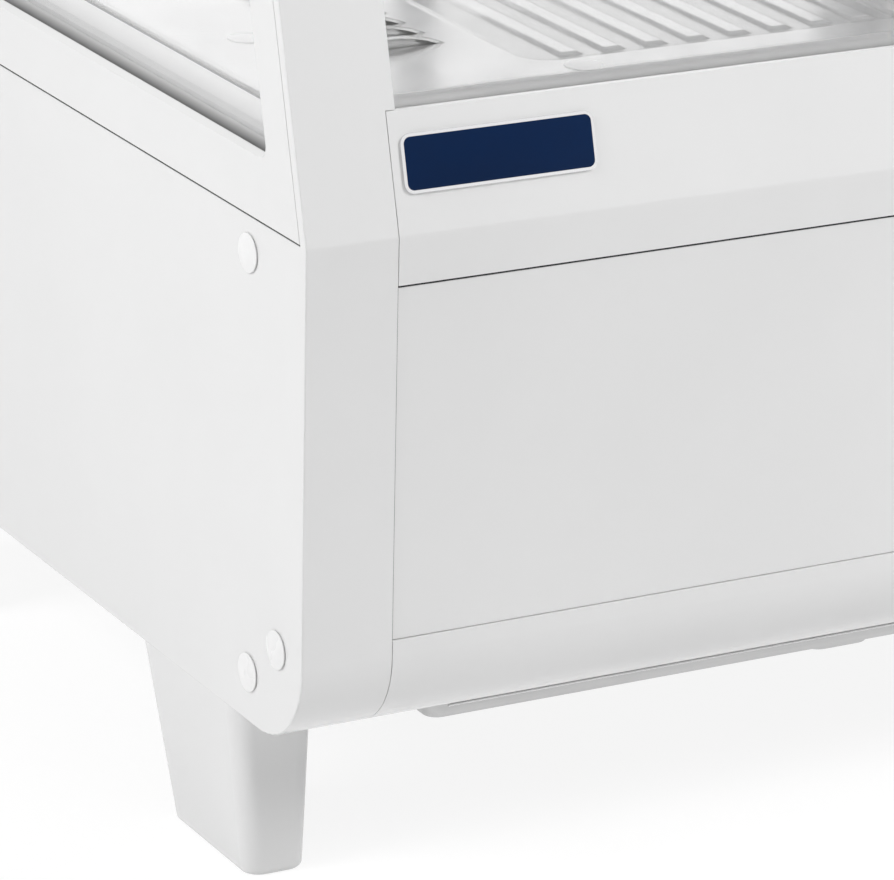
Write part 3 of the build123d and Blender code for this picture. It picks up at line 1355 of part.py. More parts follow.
nodes = {
    "left_end_panel": [left_end],
    "right_end_panel": [mirror(left_end, about=Plane.YZ)],
    "left_window_frame": [left_window],
    "right_window_frame": [mirror(left_window, about=Plane.YZ)],
    "window_gaskets": both_sides(window_gasket()),
    "side_glass": [pane for left in side_panes() for pane in both_sides(left)],
    "glass_spacers": both_sides(side_spacer()) + [front_spacer()],
    "inner_trims": both_sides(inner_trim()),
    "corner_posts": both_sides(front_post()) + both_sides(rear_post()),
    "sill_frame": [sill_frame()],
    "front_header": [front_header()],
    "front_glass": front_panes(),
    "front_glass_gasket": [front_gasket()],
    "front_rail": [front_rail()],
    "front_panel": [front_panel()],
    "bottom_rail": [bottom_rail()],
    "canopy": [canopy()],
    "ceiling_panel": [ceiling_panel()],
    "lamp_channel": [lamp_channel()],
    "lamp_diffuser": [lamp_diffuser()],
    "deck": [deck()],
    "shelf_uprights": both_sides(upright()),
    "shelf_brackets": brackets,
    "lower_shelf": [wire_shelf(LOWER_SHELF_SLOT)],
    "upper_shelf": [wire_shelf(UPPER_SHELF_SLOT)],
    "bottom_track": [bottom_track()],
    "top_track": [top_track()],
    "left_door_frame": [door_frame(left_door_x, outer_y, left_door_x[0] + DOOR_BAR / 2)],
    "left_door_pane": [door_pane(left_door_x, outer_y)],
    "left_door_glides": door_glides(left_door_x, outer_y),
    "right_door_frame": [door_frame(right_door_x, inner_y, right_door_x[1] - DOOR_BAR / 2)],
    "right_door_pane": [door_pane(right_door_x, inner_y)],
    "right_door_glides": door_glides(right_door_x, inner_y),
    "rear_panel": [rear_panel()],
    "cable_gland": [cable_gland()],
    "control_bezel": [control_bezel()],
    "display_window": [display_window()],
    "set_button": [button(0)],
    "down_button": [button(1)],
    "up_button": [button(2)],
    "light_rocker": [rocker(0)],
    "power_rocker": [rocker(1)],
    "base_pan": [base_pan()],
    "front_left_foot": [front_foot],
    "front_right_foot": [mirror(front_foot, about=Plane.YZ)],
    "rear_left_foot": [rear_foot],
    "rear_right_foot": [mirror(rear_foot, about=Plane.YZ)],
    "foot_bolts": bolts,
    "screw_caps": screw_caps(),
    "insulated_tub": [tub()],
    "evaporator_coil": [evaporator_coil()],
    "evaporator_fan_frame": [evaporator_fan * fan_frame(EVAPORATOR_FAN_RADIUS, evaporator_fan_floor)],
    "evaporator_fan_wheel": [evaporator_fan * fan_wheel(EVAPORATOR_FAN_RADIUS)],
    "drain": [drain_hose(), condensate_tray()],
    "compressor": [compressor()],
    "compressor_mounts": compressor_mounts(),
    "condenser": [condenser()],
    "condenser_fan_frame": [condenser_fan * fan_frame(CONDENSER_FAN_RADIUS, condenser_fan_floor)],
    "condenser_fan_wheel": [condenser_fan * fan_wheel(CONDENSER_FAN_RADIUS)],
    "refrigerant_lines": refrigerant_lines() + [filter_drier()],
}

for name, pieces in nodes.items():
    solids = [solid for piece in pieces for solid in piece.solids()]
    shape = solids[0] if len(solids) == 1 else Compound(children=solids)
    export_step(shape, f"parts/{name}.step")
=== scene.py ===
import json
import math

import bmesh
import bpy
from mathutils import Matrix, Vector


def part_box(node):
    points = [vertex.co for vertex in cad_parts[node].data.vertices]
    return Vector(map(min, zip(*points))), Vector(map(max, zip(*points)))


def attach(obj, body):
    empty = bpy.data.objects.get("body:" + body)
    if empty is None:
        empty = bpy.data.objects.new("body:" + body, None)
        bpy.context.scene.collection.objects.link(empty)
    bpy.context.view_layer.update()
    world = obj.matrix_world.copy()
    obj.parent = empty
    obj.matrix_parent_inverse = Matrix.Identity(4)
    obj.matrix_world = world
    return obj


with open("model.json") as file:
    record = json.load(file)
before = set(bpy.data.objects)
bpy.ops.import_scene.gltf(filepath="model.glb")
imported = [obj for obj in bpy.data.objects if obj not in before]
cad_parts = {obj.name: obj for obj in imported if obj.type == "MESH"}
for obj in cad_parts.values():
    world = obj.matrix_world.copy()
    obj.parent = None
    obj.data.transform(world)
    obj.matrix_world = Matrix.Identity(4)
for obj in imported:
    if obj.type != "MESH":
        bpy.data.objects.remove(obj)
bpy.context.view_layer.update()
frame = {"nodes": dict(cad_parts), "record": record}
scene = bpy.context.scene
MM = 0.001

# Camera at the photograph's viewing angle.
CAMERA_PLACE = (-1.43338, -2.44455, 1.10449)
CAMERA_TURN = (70.695269, -1.066593, -28.026993)
CAMERA_LENS = 221.43689
SENSOR = 36.0

# Light levels: a level of 1 shows a colour as it is written.
SKY_LOW = 0.02
SKY_HIGH = 0.44
LAMPS = (
    ("side_key", (-2.5, -0.1, 1.85), 0.522),
    ("front_key", (1.73, -1.66, 2.26), 0.685),
    ("back_fill", (1.2, 2.6, 1.2), 0.3),
)
LAMP_SIZE = 1.2
AIM = (0.0, 0.0, 0.34)

# The floor: how much of its white it has by itself, and how much the light and the shadow give it.
FLOOR_REACH = 12.0
FLOOR_COLOUR = 0.82
FLOOR_OWN = 0.86
FLOOR_LIT = 0.18

# Leaning rail: the knee it starts from, in millimetres, and its lean.
RAKE = math.radians(15.4)
KNEE_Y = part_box("left_end_panel")[0].y / MM
KNEE_Z = 348.0

X_AXIS = Vector((1.0, 0.0, 0.0))
Y_AXIS = Vector((0.0, 1.0, 0.0))
Z_AXIS = Vector((0.0, 0.0, 1.0))


def new_tree(name):
    made = bpy.data.materials.new(name)
    made.use_nodes = True
    return made, made.node_tree


def put(tree, kind, **sockets):
    made = tree.nodes.new(kind)
    for socket, value in sockets.items():
        made.inputs[socket.replace("_", " ")].default_value = value
    return made


def coords(tree, stretch=(1.0, 1.0, 1.0)):
    place = tree.nodes.new("ShaderNodeTexCoord")
    mapping = put(tree, "ShaderNodeMapping", Scale=stretch)
    tree.links.new(place.outputs["Object"], mapping.inputs["Vector"])
    return mapping.outputs["Vector"]


def noise(tree, where, scale, detail=2.0):
    made = put(tree, "ShaderNodeTexNoise", Scale=scale, Detail=detail)
    tree.links.new(where, made.inputs["Vector"])
    return made.outputs["Fac"]


def cells(tree, where, scale):
    made = put(tree, "ShaderNodeTexVoronoi", Scale=scale)
    tree.links.new(where, made.inputs["Vector"])
    grey = tree.nodes.new("ShaderNodeSeparateColor")
    tree.links.new(made.outputs["Color"], grey.inputs["Color"])
    return grey.outputs["Red"]


def spread(tree, source, low, high, start=0.3, end=0.7):
    made = put(tree, "ShaderNodeMapRange", From_Min=start, From_Max=end, To_Min=low, To_Max=high)
    tree.links.new(source, made.inputs["Value"])
    return made.outputs["Result"]


def shade(tree, source, colour, vary, start=0.3, end=0.7):
    ramp = tree.nodes.new("ShaderNodeValToRGB")
    low, high = ramp.color_ramp.elements
    low.position, high.position = start, end
    low.color = [min(1.0, c * (1.0 - vary)) for c in colour] + [1.0]
    high.color = [min(1.0, c * (1.0 + vary)) for c in colour] + [1.0]
    tree.links.new(source, ramp.inputs["Fac"])
    return ramp.outputs["Color"]


def bump(tree, height, depth, under=None):
    made = put(tree, "ShaderNodeBump", Strength=1.0, Distance=depth)
    tree.links.new(height, made.inputs["Height"])
    if under is not None:
        tree.links.new(under, made.inputs["Normal"])
    return made.outputs["Normal"]


def soft_edge(tree, radius):
    made = put(tree, "ShaderNodeBevel", Radius=radius)
    made.samples = 4
    return made.outputs["Normal"]


def surface(name, colour, vary=0.015, patch=7.0, rough=0.4, rough_vary=0.05, grain=700.0, depth=0.00002,
            stretch=(1.0, 1.0, 1.0), metallic=0.0, wave=0.0, wave_depth=0.0, edge=0.0, spangle=False,
            **sockets):
    """A material whose colour drifts in soft patches, with its own roughness and surface grain."""
    made, tree = new_tree(name)
    shader = tree.nodes["Principled BSDF"]
    for socket, value in sockets.items():
        shader.inputs[socket.replace("_", " ")].default_value = value
    shader.inputs["Metallic"].default_value = metallic
    plain = coords(tree)
    drawn = coords(tree, stretch)
    patches = cells(tree, plain, patch) if spangle else noise(tree, drawn, patch, 3.0)
    start, end = (0.0, 1.0) if spangle else (0.3, 0.7)
    tree.links.new(shade(tree, patches, colour, vary, start, end), shader.inputs["Base Color"])
    fine = noise(tree, drawn, grain, 3.0)
    worn = patches if spangle else noise(tree, plain, patch * 3.1, 4.0)
    roughness = spread(tree, worn, rough - rough_vary, rough + rough_vary, start, end)
    tree.links.new(roughness, shader.inputs["Roughness"])
    normal = soft_edge(tree, edge) if edge else None
    if wave:
        normal = bump(tree, noise(tree, plain, wave, 1.0), wave_depth, normal)
    normal = bump(tree, fine, depth, normal)
    tree.links.new(normal, shader.inputs["Normal"])
    return made


def clear_glass(name, tint, face_on, grazing, rough):
    """Glass that lets light straight through and mirrors more the flatter it is seen."""
    made, tree = new_tree(name)
    tree.nodes.remove(tree.nodes["Principled BSDF"])
    through = put(tree, "ShaderNodeBsdfTransparent", Color=(*tint, 1.0))
    mirror = put(tree, "ShaderNodeBsdfGlossy", Color=(1.0, 1.0, 1.0, 1.0), Roughness=rough)
    flat = put(tree, "ShaderNodeLayerWeight", Blend=0.5)
    steep = tree.nodes.new("ShaderNodeMath")
    steep.operation = "POWER"
    steep.inputs[1].default_value = 5.0
    tree.links.new(flat.outputs["Facing"], steep.inputs[0])
    share = spread(tree, steep.outputs["Value"], face_on, grazing, 0.0, 1.0)
    mix = tree.nodes.new("ShaderNodeMixShader")
    tree.links.new(share, mix.inputs["Fac"])
    tree.links.new(through.outputs["BSDF"], mix.inputs[1])
    tree.links.new(mirror.outputs["BSDF"], mix.inputs[2])
    tree.links.new(mix.outputs["Shader"], tree.nodes["Material Output"].inputs["Surface"])
    return made


def background_rays(tree):
    """1 for the rays that show the background: seen directly, in a mirror or through glass."""
    path = tree.nodes.new("ShaderNodeLightPath")
    seen = path.outputs["Is Camera Ray"]
    for other in ("Is Glossy Ray", "Is Transmission Ray"):
        both = tree.nodes.new("ShaderNodeMath")
        both.operation = "MAXIMUM"
        tree.links.new(seen, both.inputs[0])
        tree.links.new(path.outputs[other], both.inputs[1])
        seen = both.outputs["Value"]
    return seen


WHITE = (0.875, 0.875, 0.875)
FINISH = {
    "white_moulding": surface("white_moulding", WHITE, rough=0.22, rough_vary=0.03, grain=900.0,
                              depth=0.000006, edge=0.0003),
    "white_sheet": surface("white_sheet", WHITE, rough=0.24, rough_vary=0.03, grain=1400.0, depth=0.000005,
                           wave=11.0, wave_depth=0.00006, edge=0.0003),
    "inner_white": surface("inner_white", (0.92, 0.92, 0.92), rough=0.42, grain=800.0),
    "gasket": surface("gasket", (0.07, 0.07, 0.073), vary=0.12, patch=40.0, rough=0.55, grain=1500.0),
    "glass": clear_glass("glass", (0.998, 0.998, 0.998), 0.02, 1.0, 0.0),
    "aluminium": surface("aluminium", (0.72, 0.725, 0.73), rough=0.34, grain=60.0, depth=0.000006,
                         stretch=(1.0, 30.0, 30.0), metallic=1.0),
    "stainless": surface("stainless", (0.9, 0.9, 0.9), vary=0.03, patch=16.0, rough=0.2, rough_vary=0.06,
                         grain=45.0, depth=0.000003, stretch=(1.0, 40.0, 1.0), metallic=1.0, wave=20.0,
                         wave_depth=0.0004, edge=0.0016),
    "galvanised": surface("galvanised", (0.54, 0.54, 0.54), vary=0.07, patch=9.0, rough=0.4, rough_vary=0.06,
                          grain=30.0, depth=0.00002, stretch=(1.0, 18.0, 18.0), metallic=1.0, wave=9.0,
                          wave_depth=0.0002),
    "chrome": surface("chrome", (0.82, 0.82, 0.83), patch=20.0, rough=0.1, rough_vary=0.03, grain=600.0,
                      depth=0.000002, metallic=1.0),
    "opal": surface("opal", (0.93, 0.93, 0.91), rough=0.45, grain=1100.0, Subsurface_Weight=0.2),
    "nylon": surface("nylon", (0.78, 0.78, 0.74), patch=60.0, rough=0.45, Subsurface_Weight=0.1),
    "black_plastic": surface("black_plastic", (0.03, 0.03, 0.031), vary=0.1, patch=30.0, rough=0.48,
                             grain=2200.0, depth=0.00003, edge=0.0004),
    "grey_plastic": surface("grey_plastic", (0.32, 0.325, 0.335), vary=0.04, patch=30.0, rough=0.46,
                            grain=1800.0, depth=0.00002, edge=0.0003),
    "display": surface("display", (0.012, 0.006, 0.007), vary=0.1, patch=30.0, rough=0.12, rough_vary=0.03,
                       depth=0.000002, Coat_Weight=0.5),
    "rocker_green": surface("rocker_green", (0.05, 0.36, 0.11), vary=0.05, patch=60.0, rough=0.24,
                            rough_vary=0.05, edge=0.0004, Coat_Weight=0.3),
    "rocker_red": surface("rocker_red", (0.52, 0.035, 0.025), vary=0.05, patch=60.0, rough=0.24,
                          rough_vary=0.05, edge=0.0004, Coat_Weight=0.3),
    "compressor_black": surface("compressor_black", (0.02, 0.02, 0.021), vary=0.15, patch=25.0, rough=0.33,
                                rough_vary=0.08, grain=350.0, depth=0.00004),
    "copper": surface("copper", (0.71, 0.38, 0.24), vary=0.14, patch=35.0, rough=0.34, rough_vary=0.1,
                      metallic=1.0),
    "rubber": surface("rubber", (0.025, 0.025, 0.026), vary=0.15, patch=50.0, rough=0.66, grain=1500.0),
    "foam": surface("foam", (0.8, 0.8, 0.78), vary=0.04, patch=260.0, rough=0.8, grain=260.0, depth=0.0003,
                    spangle=True),
}


# Gasket lip: how far out its painted shade starts and ends, in metres, its greys there (pale at the pane,
# painted shade by the frame), and its roughness.
GASKET_SPAN = (0.331, 0.3376)
GASKET_PALE = (0.62, 0.62, 0.62, 1.0)
GASKET_PAINTED_SHADE = (0.1, 0.1, 0.1, 1.0)
GASKET_ROUGH = (0.45, 0.6)
GASKET_PATCH = 60.0
GASKET_GRAIN = 1500.0
GASKET_DEPTH = 0.00002


def gasket_painted_shade():
    """Grey rubber lip with painted shade: dark by the frame, far out on X, paling to the pane."""
    made, tree = new_tree("gasket_painted_shade")
    shader = tree.nodes["Principled BSDF"]
    parts = tree.nodes.new("ShaderNodeSeparateXYZ")
    tree.links.new(coords(tree), parts.inputs["Vector"])
    far = tree.nodes.new("ShaderNodeMath")
    far.operation = "ABSOLUTE"
    tree.links.new(parts.outputs["X"], far.inputs[0])
    ramp = tree.nodes.new("ShaderNodeValToRGB")
    pale, painted_shade_end = ramp.color_ramp.elements
    pale.position, painted_shade_end.position = 0.0, 1.0
    # The dark end is painted shade for the recess by the frame.
    pale.color, painted_shade_end.color = GASKET_PALE, GASKET_PAINTED_SHADE
    tree.links.new(spread(tree, far.outputs["Value"], 0.0, 1.0, *GASKET_SPAN), ramp.inputs["Fac"])
    tree.links.new(ramp.outputs["Color"], shader.inputs["Base Color"])
    worn = noise(tree, coords(tree), GASKET_PATCH)
    tree.links.new(spread(tree, worn, *GASKET_ROUGH), shader.inputs["Roughness"])
    grain = noise(tree, coords(tree), GASKET_GRAIN)
    tree.links.new(bump(tree, grain, GASKET_DEPTH), shader.inputs["Normal"])
    return made


# Greys of the deck by height in metres, painted shade that darkens the lower it lies: the foot and belly of
# the roll, the valleys and the ribs' tops.
DECK_PAINTED_SHADE_GREYS = ((0.3868, 0.3), (0.389, 0.58), (0.3929, 0.82), (0.3942, 0.97))
# Where the deck's rolled front edge meets its field, in metres, and the least and most rough of both.
DECK_ROLL = (-0.218, -0.208)
ROLL_ROUGH = (0.46, 0.56)
FIELD_ROUGH = (0.14, 0.24)
# The deck's metal share, patches, rounded edges, soft waves and brushing along its length.
DECK_METAL = 0.8
DECK_PATCH = 30.0
DECK_EDGE = 0.0022
DECK_WAVE = 22.0
DECK_WAVE_DEPTH = 0.0005
DECK_BRUSH = 45.0
DECK_BRUSH_STRETCH = (1.0, 40.0, 1.0)
DECK_BRUSH_DEPTH = 0.000003


def deck_steel():
    """Satin pressed steel with painted shade: greyer in the valleys between its ribs and down its rolled
    front edge, which is also rougher.
    """
    made, tree = new_tree("deck_steel")
    shader = tree.nodes["Principled BSDF"]
    shader.inputs["Metallic"].default_value = DECK_METAL
    plain = coords(tree)
    parts = tree.nodes.new("ShaderNodeSeparateXYZ")
    tree.links.new(plain, parts.inputs["Vector"])
    ramp = tree.nodes.new("ShaderNodeValToRGB")
    steps = ramp.color_ramp.elements
    low, high = DECK_PAINTED_SHADE_GREYS[0][0], DECK_PAINTED_SHADE_GREYS[-1][0]
    for height, _ in DECK_PAINTED_SHADE_GREYS[1:-1]:
        steps.new((height - low) / (high - low))
    for step, (_, grey) in zip(steps, DECK_PAINTED_SHADE_GREYS):
        step.color = (grey, grey, grey, 1.0)
    # Base colour by height: painted shade in the valleys and down the roll.
    tree.links.new(spread(tree, parts.outputs["Z"], 0.0, 1.0, low, high), ramp.inputs["Fac"])
    tree.links.new(ramp.outputs["Color"], shader.inputs["Base Color"])
    worn = put(tree, "ShaderNodeMapRange", From_Min=0.3, From_Max=0.7)
    tree.links.new(noise(tree, plain, DECK_PATCH), worn.inputs["Value"])
    for socket, roll, field in zip(("To Min", "To Max"), ROLL_ROUGH, FIELD_ROUGH):
        tree.links.new(spread(tree, parts.outputs["Y"], roll, field, *DECK_ROLL), worn.inputs[socket])
    tree.links.new(worn.outputs["Result"], shader.inputs["Roughness"])
    waves = noise(tree, plain, DECK_WAVE, 1.0)
    normal = bump(tree, waves, DECK_WAVE_DEPTH, soft_edge(tree, DECK_EDGE))
    brushing = noise(tree, coords(tree, DECK_BRUSH_STRETCH), DECK_BRUSH)
    tree.links.new(bump(tree, brushing, DECK_BRUSH_DEPTH, normal), shader.inputs["Normal"])
    return made


NODE_FINISH = {
    "deck": deck_steel(),
    "window_gaskets": gasket_painted_shade(),
    # The caps are a whiter copy of the white moulding: painted light standing in for light on their domes.
    "screw_caps": surface("cap_painted_light_white", (0.95, 0.95, 0.95), rough=0.3, grain=900.0, depth=0.00001,
                          edge=0.0003),
}
for row in frame["record"]["subparts"]:
    for held in frame["nodes"][row["node"]].material_slots:
        held.material = NODE_FINISH.get(row["node"], FINISH[row["material_slot"]])


# Edges that turn by more than this, in degrees, stay sharp.
SHARP_TURN = 35.0


def add_piece(name, shape, material, body="cabinet"):
    """Makes a piece of a finished shape, which rides on a body and takes the material it is given."""
    mesh = bpy.data.meshes.new(name)
    bmesh.ops.recalc_face_normals(shape, faces=shape.faces)
    shape.to_mesh(mesh)
    shape.free()
    piece = bpy.data.objects.new(name, mesh)
    scene.collection.objects.link(piece)
    mesh.materials.append(material)
    mesh.shade_smooth()
    mesh.set_sharp_from_angle(angle=math.radians(SHARP_TURN))
    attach(piece, body)


def rounded_outline(half_x, half_y, radius, steps=8):
    """Points round a rectangle with rounded corners, counter-clockwise."""
    points = []
    for turn, (sx, sy) in enumerate(((1, 1), (-1, 1), (-1, -1), (1, -1))):
        for step in range(steps + 1):
            angle = math.radians(90.0 * (turn + step / steps))
            points.append((sx * (half_x - radius) + radius * math.cos(angle),
                           sy * (half_y - radius) + radius * math.sin(angle)))
    return points


def stack(shape, rings):
    """Joins outlines of the same count one above the other, closed at both ends."""
    made = [[shape.verts.new(point) for point in ring] for ring in rings]
    for low, high in zip(made, made[1:]):
        for i in range(len(low)):
            j = (i + 1) % len(low)
            shape.faces.new((low[i], low[j], high[j], high[i]))
    shape.faces.new(made[0][::-1])
    shape.faces.new(made[-1])


def placed(shape, place, across, up):
    """Turns a shape so that its X runs across and its Y up, and moves it to its place, in metres."""
    out = across.cross(up)
    turn = Matrix((across, up, out)).transposed().to_4x4()
    shape.transform(Matrix.Translation(place) @ turn)


# Bare name plate on the leaning rail, in millimetres: a pale rim with a plain field that stands proud of it.
PLATE_X = -235.7
PLATE_RISE = 33.4
PLATE_HALF = (51.5, 14.2)
PLATE_RADIUS = 5.0
PLATE_THICKNESS = 1.2
PLATE_SINK = 0.2
RIM = 1.6
RIM_ROUND = 0.5
FIELD_SINK = 0.1
FIELD_PROUD = 0.35
FIELD_ROUND = 0.25
ROUND_SHARE = 0.3
navy = surface("navy_field", (0.001, 0.016, 0.066), vary=0.06, patch=25.0, rough=0.2, rough_vary=0.04,
               grain=900.0, depth=0.000004, Specular_IOR_Level=0.1)
rim_metal = surface("plate_rim", (0.8, 0.8, 0.81), rough=0.22, grain=600.0, depth=0.000003, metallic=1.0)
rail_up = Vector((0.0, math.sin(RAKE), math.cos(RAKE)))
plate_place = Vector((PLATE_X, KNEE_Y + PLATE_RISE * math.sin(RAKE),
                      KNEE_Z + PLATE_RISE * math.cos(RAKE))) * MM
for name, inset, low, high, round_over, material in (
    ("name_plate_rim", 0.0, -PLATE_SINK, PLATE_THICKNESS, RIM_ROUND, rim_metal),
    ("name_plate_field", RIM, PLATE_THICKNESS - FIELD_SINK, PLATE_THICKNESS + FIELD_PROUD,
     FIELD_ROUND, navy),
):
    rings = []
    part_round = round_over * ROUND_SHARE
    for level, shrink in ((low, 0.0), (high - round_over, 0.0), (high - part_round, part_round),
                          (high, round_over)):
        half = [side - inset - shrink for side in PLATE_HALF]
        outline = rounded_outline(*half, PLATE_RADIUS - inset - shrink)
        rings.append([(x * MM, y * MM, level * MM) for x, y in outline])
    shape = bmesh.new()
    stack(shape, rings)
    placed(shape, plate_place, X_AXIS, rail_up)
    add_piece(name, shape, material)

# Dark rubber seam strips, painted shade laid where the seams only hold shade, in metres: how deep the strips
# lie, how far their faces bulge in how many steps, how thick they are, the play beside them and at their
# ends, and the width of the seams beside the front panel.
SEAL_SINK = 0.0004
SEAL_STEPS = 6
SEAL_ROUND = 0.0001
SEAL_DEPTH = 0.0012
SEAL_PLAY = 0.00003
SEAL_END = 0.0004
PANEL_SEAM = 0.0004


def seal(name, start, end, out, across, half_width, material=FINISH["rubber"],
         depth=SEAL_DEPTH):
    """A strip with a rounded face that closes a seam, from start to end, all in metres; in its default dark
    rubber it is painted shade.
    """
    along = end - start
    rings = []
    for step in range(SEAL_STEPS + 1):
        angle = math.radians(-90.0 + 180.0 * step / SEAL_STEPS)
        rings.append((half_width * math.sin(angle), SEAL_ROUND * math.cos(angle)))
    rings += [(half_width, -depth), (-half_width, -depth)]
    shape = bmesh.new()
    stack(shape, [[start + along * share + across * x + out * y for x, y in rings] for share in (0.0, 1.0)])
    add_piece(name, shape, material)


# White band along the foot of the inner side panes with a grey lip on its top edge, painted shade for the
# dark line above the band, and the bead along the front wall of the pan, in metres.
BAND_FACE = 0.323
BAND_LOW = 0.37915
BAND_HIGH = 0.3971
BAND_SHADE_LINE = 0.0004
BAND_Y = (-0.236, 0.224)
BEAD_PLACE = (-0.2298, 0.0834)
BEAD_LEAN = math.radians(27.9)
BEAD_HALF = (0.232, 0.0006)
BEAD_DEPTH = 0.0004
panel_low, panel_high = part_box("front_panel")
rail_low, rail_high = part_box("front_rail")
gap_z = (panel_high.z + rail_low.z) / 2
gap_y = panel_low.y + SEAL_SINK
# Dark rubber in the shadow gap under the rail: painted shade.
seal("shadow_gap_strip", Vector((panel_low.x, gap_y, gap_z)), Vector((panel_high.x, gap_y, gap_z)),
     -Y_AXIS, Z_AXIS, (rail_low.z - panel_high.z) / 2 - SEAL_PLAY)
for side, out in (("left", -1.0), ("right", 1.0)):
    end_low, end_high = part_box(side + "_end_panel")
    frame_low, frame_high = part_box(side + "_window_frame")
    face = end_low.x if out < 0 else end_high.x
    seam_z = (KNEE_Z * MM + frame_low.z) / 2
    seam_x = face - out * SEAL_SINK
    # Dark rubber in the seam under the window frame: painted shade.
    seal(side + "_window_seam_shade_strip", Vector((seam_x, frame_low.y + SEAL_END, seam_z)),
         Vector((seam_x, frame_high.y - SEAL_END, seam_z)), X_AXIS * out, Z_AXIS,
         frame_low.z - seam_z - SEAL_PLAY)
    band_x = out * (BAND_FACE + SEAL_PLAY + SEAL_DEPTH)
    for label, low, high, material, slot in (
        ("pane_band", BAND_LOW, BAND_HIGH, FINISH["inner_white"], "inner_white"),
        # Grey lip: painted shade for the dark line above the band.
        ("pane_band_shade_line", BAND_HIGH + SEAL_PLAY, BAND_HIGH + BAND_SHADE_LINE, FINISH["grey_plastic"],
         "grey_plastic"),
    ):
        middle = (low + high) / 2
        seal(side + "_" + label, Vector((band_x, BAND_Y[0], middle)), Vector((band_x, BAND_Y[1], middle)),
             X_AXIS * out, Z_AXIS, (high - low) / 2, material)
    edge_x = out * (panel_high.x + PANEL_SEAM / 2)
    edge_y = (rail_low.y + panel_low.y) / 2
    # Dark rubber in the seams beside the front panel: painted shade.
    seal(side + "_panel_seam_shade_strip", Vector((edge_x, edge_y, panel_low.z)),
         Vector((edge_x, edge_y, panel_high.z)), -Y_AXIS, X_AXIS, PANEL_SEAM / 2 - SEAL_PLAY)
bead_out = Vector((0.0, -math.cos(BEAD_LEAN), -math.sin(BEAD_LEAN)))
bead_up = Vector((0.0, -math.sin(BEAD_LEAN), math.cos(BEAD_LEAN)))
bead_off = bead_out * (BEAD_DEPTH + SEAL_PLAY)
seal("pan_bead", Vector((-BEAD_HALF[0], *BEAD_PLACE)) + bead_off,
     Vector((BEAD_HALF[0], *BEAD_PLACE)) + bead_off, bead_out, bead_up, BEAD_HALF[1], FINISH["inner_white"],
     BEAD_DEPTH)

# Socket screws round the edge of the rear panel, in millimetres: radius and height from the panel's face.
SCREW_PLACES = [(x, z) for x in (-279.0, 279.0) for z in (106.0, 235.0, 363.0)]
SCREW_PLACES += [(0.0, 106.0), (0.0, 363.0)]
SCREW_PROFILE = ((4.4, -0.1), (4.4, 0.4), (4.0, 1.2), (3.0, 1.9))
SOCKET_PROFILE = ((1.9, 1.9), (1.8, 0.6))
SOCKET_SIDES = 6
SCREW_POINTS = 24


def screw_ring(radius, sides):
    """Points round a circle, or round a polygon where sides are given."""
    points = []
    for step in range(SCREW_POINTS):
        angle = math.tau * step / SCREW_POINTS
        reach = radius
        if sides:
            half = math.pi / sides
            reach *= math.cos(half) / math.cos(angle % (2 * half) - half)
        points.append((reach * math.cos(angle), reach * math.sin(angle)))
    return points


back_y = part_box("rear_panel")[1].y
shape = bmesh.new()
for x, z in SCREW_PLACES:
    rings = []
    for profile, sides in ((SCREW_PROFILE, 0), (SOCKET_PROFILE, SOCKET_SIDES)):
        for radius, level in profile:
            rings.append([((x + across) * MM, back_y + level * MM, (z + up) * MM)
                          for across, up in screw_ring(radius, sides)])
    stack(shape, rings)
add_piece("rear_panel_screws", shape, FINISH["galvanised"])

# Floor, world and lamps.
floor_shape = bmesh.new()
bmesh.ops.create_grid(floor_shape, x_segments=1, y_segments=1, size=FLOOR_REACH)
floor_mesh = bpy.data.meshes.new("floor")
floor_shape.to_mesh(floor_mesh)
floor_shape.free()
floor = bpy.data.objects.new("floor", floor_mesh)
scene.collection.objects.link(floor)
floor_paint, tree = new_tree("floor_paint")
tree.nodes.remove(tree.nodes["Principled BSDF"])
dull = put(tree, "ShaderNodeBsdfDiffuse", Color=(FLOOR_COLOUR, FLOOR_COLOUR, FLOOR_COLOUR, 1.0))
own = put(tree, "ShaderNodeEmission", Color=(1.0, 1.0, 1.0, 1.0), Strength=FLOOR_OWN)
lit = put(tree, "ShaderNodeBsdfDiffuse", Color=(FLOOR_LIT, FLOOR_LIT, FLOOR_LIT, 1.0))
both = tree.nodes.new("ShaderNodeAddShader")
tree.links.new(own.outputs["Emission"], both.inputs[0])
tree.links.new(lit.outputs["BSDF"], both.inputs[1])
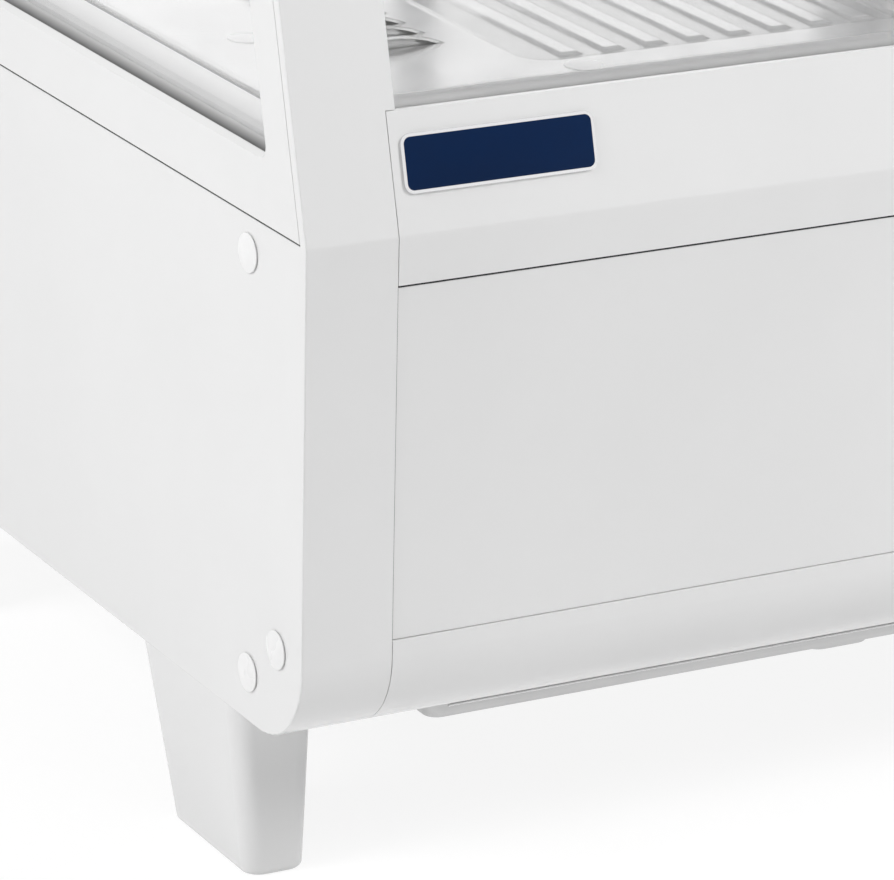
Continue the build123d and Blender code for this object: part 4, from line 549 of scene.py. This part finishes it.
choice = tree.nodes.new("ShaderNodeMixShader")
tree.links.new(background_rays(tree), choice.inputs["Fac"])
tree.links.new(dull.outputs["BSDF"], choice.inputs[1])
tree.links.new(both.outputs["Shader"], choice.inputs[2])
tree.links.new(choice.outputs["Shader"], tree.nodes["Material Output"].inputs["Surface"])
floor_mesh.materials.append(floor_paint)

world = bpy.data.worlds.new("studio")
world.use_nodes = True
scene.world = world
tree = world.node_tree
sky = tree.nodes["Background"]
sky.inputs["Color"].default_value = (1.0, 1.0, 1.0, 1.0)
way = tree.nodes.new("ShaderNodeTexCoord")
parts = tree.nodes.new("ShaderNodeSeparateXYZ")
tree.links.new(way.outputs["Generated"], parts.inputs["Vector"])
ambient = spread(tree, parts.outputs["Z"], SKY_LOW, SKY_HIGH, 0.0, 1.0)
seen = put(tree, "ShaderNodeMapRange", From_Min=0.0, From_Max=1.0, To_Max=1.0)
tree.links.new(background_rays(tree), seen.inputs["Value"])
tree.links.new(ambient, seen.inputs["To Min"])
tree.links.new(seen.outputs["Result"], sky.inputs["Strength"])


def softbox(name, place, level):
    """An area lamp that lights a surface facing it, at the object, to the given level."""
    lamp = bpy.data.lights.new(name, "AREA")
    lamp.shape = "SQUARE"
    lamp.size = LAMP_SIZE
    reach = (Vector(place) - Vector(AIM)).length
    lamp.energy = level * (math.pi * reach) ** 2
    made = bpy.data.objects.new(name, lamp)
    scene.collection.objects.link(made)
    made.location = place
    made.rotation_euler = (Vector(AIM) - Vector(place)).to_track_quat("-Z", "Y").to_euler()
    made.visible_glossy = False
    made.visible_camera = False


for name, place, level in LAMPS:
    softbox(name, place, level)

lens = bpy.data.cameras.new("camera")
lens.lens = CAMERA_LENS
lens.sensor_width = SENSOR
lens.clip_start = 0.05
lens.clip_end = 100.0
camera = bpy.data.objects.new("camera", lens)
scene.collection.objects.link(camera)
camera.location = CAMERA_PLACE
camera.rotation_euler = [math.radians(angle) for angle in CAMERA_TURN]
scene.camera = camera
scene.view_settings.view_transform = "Standard"
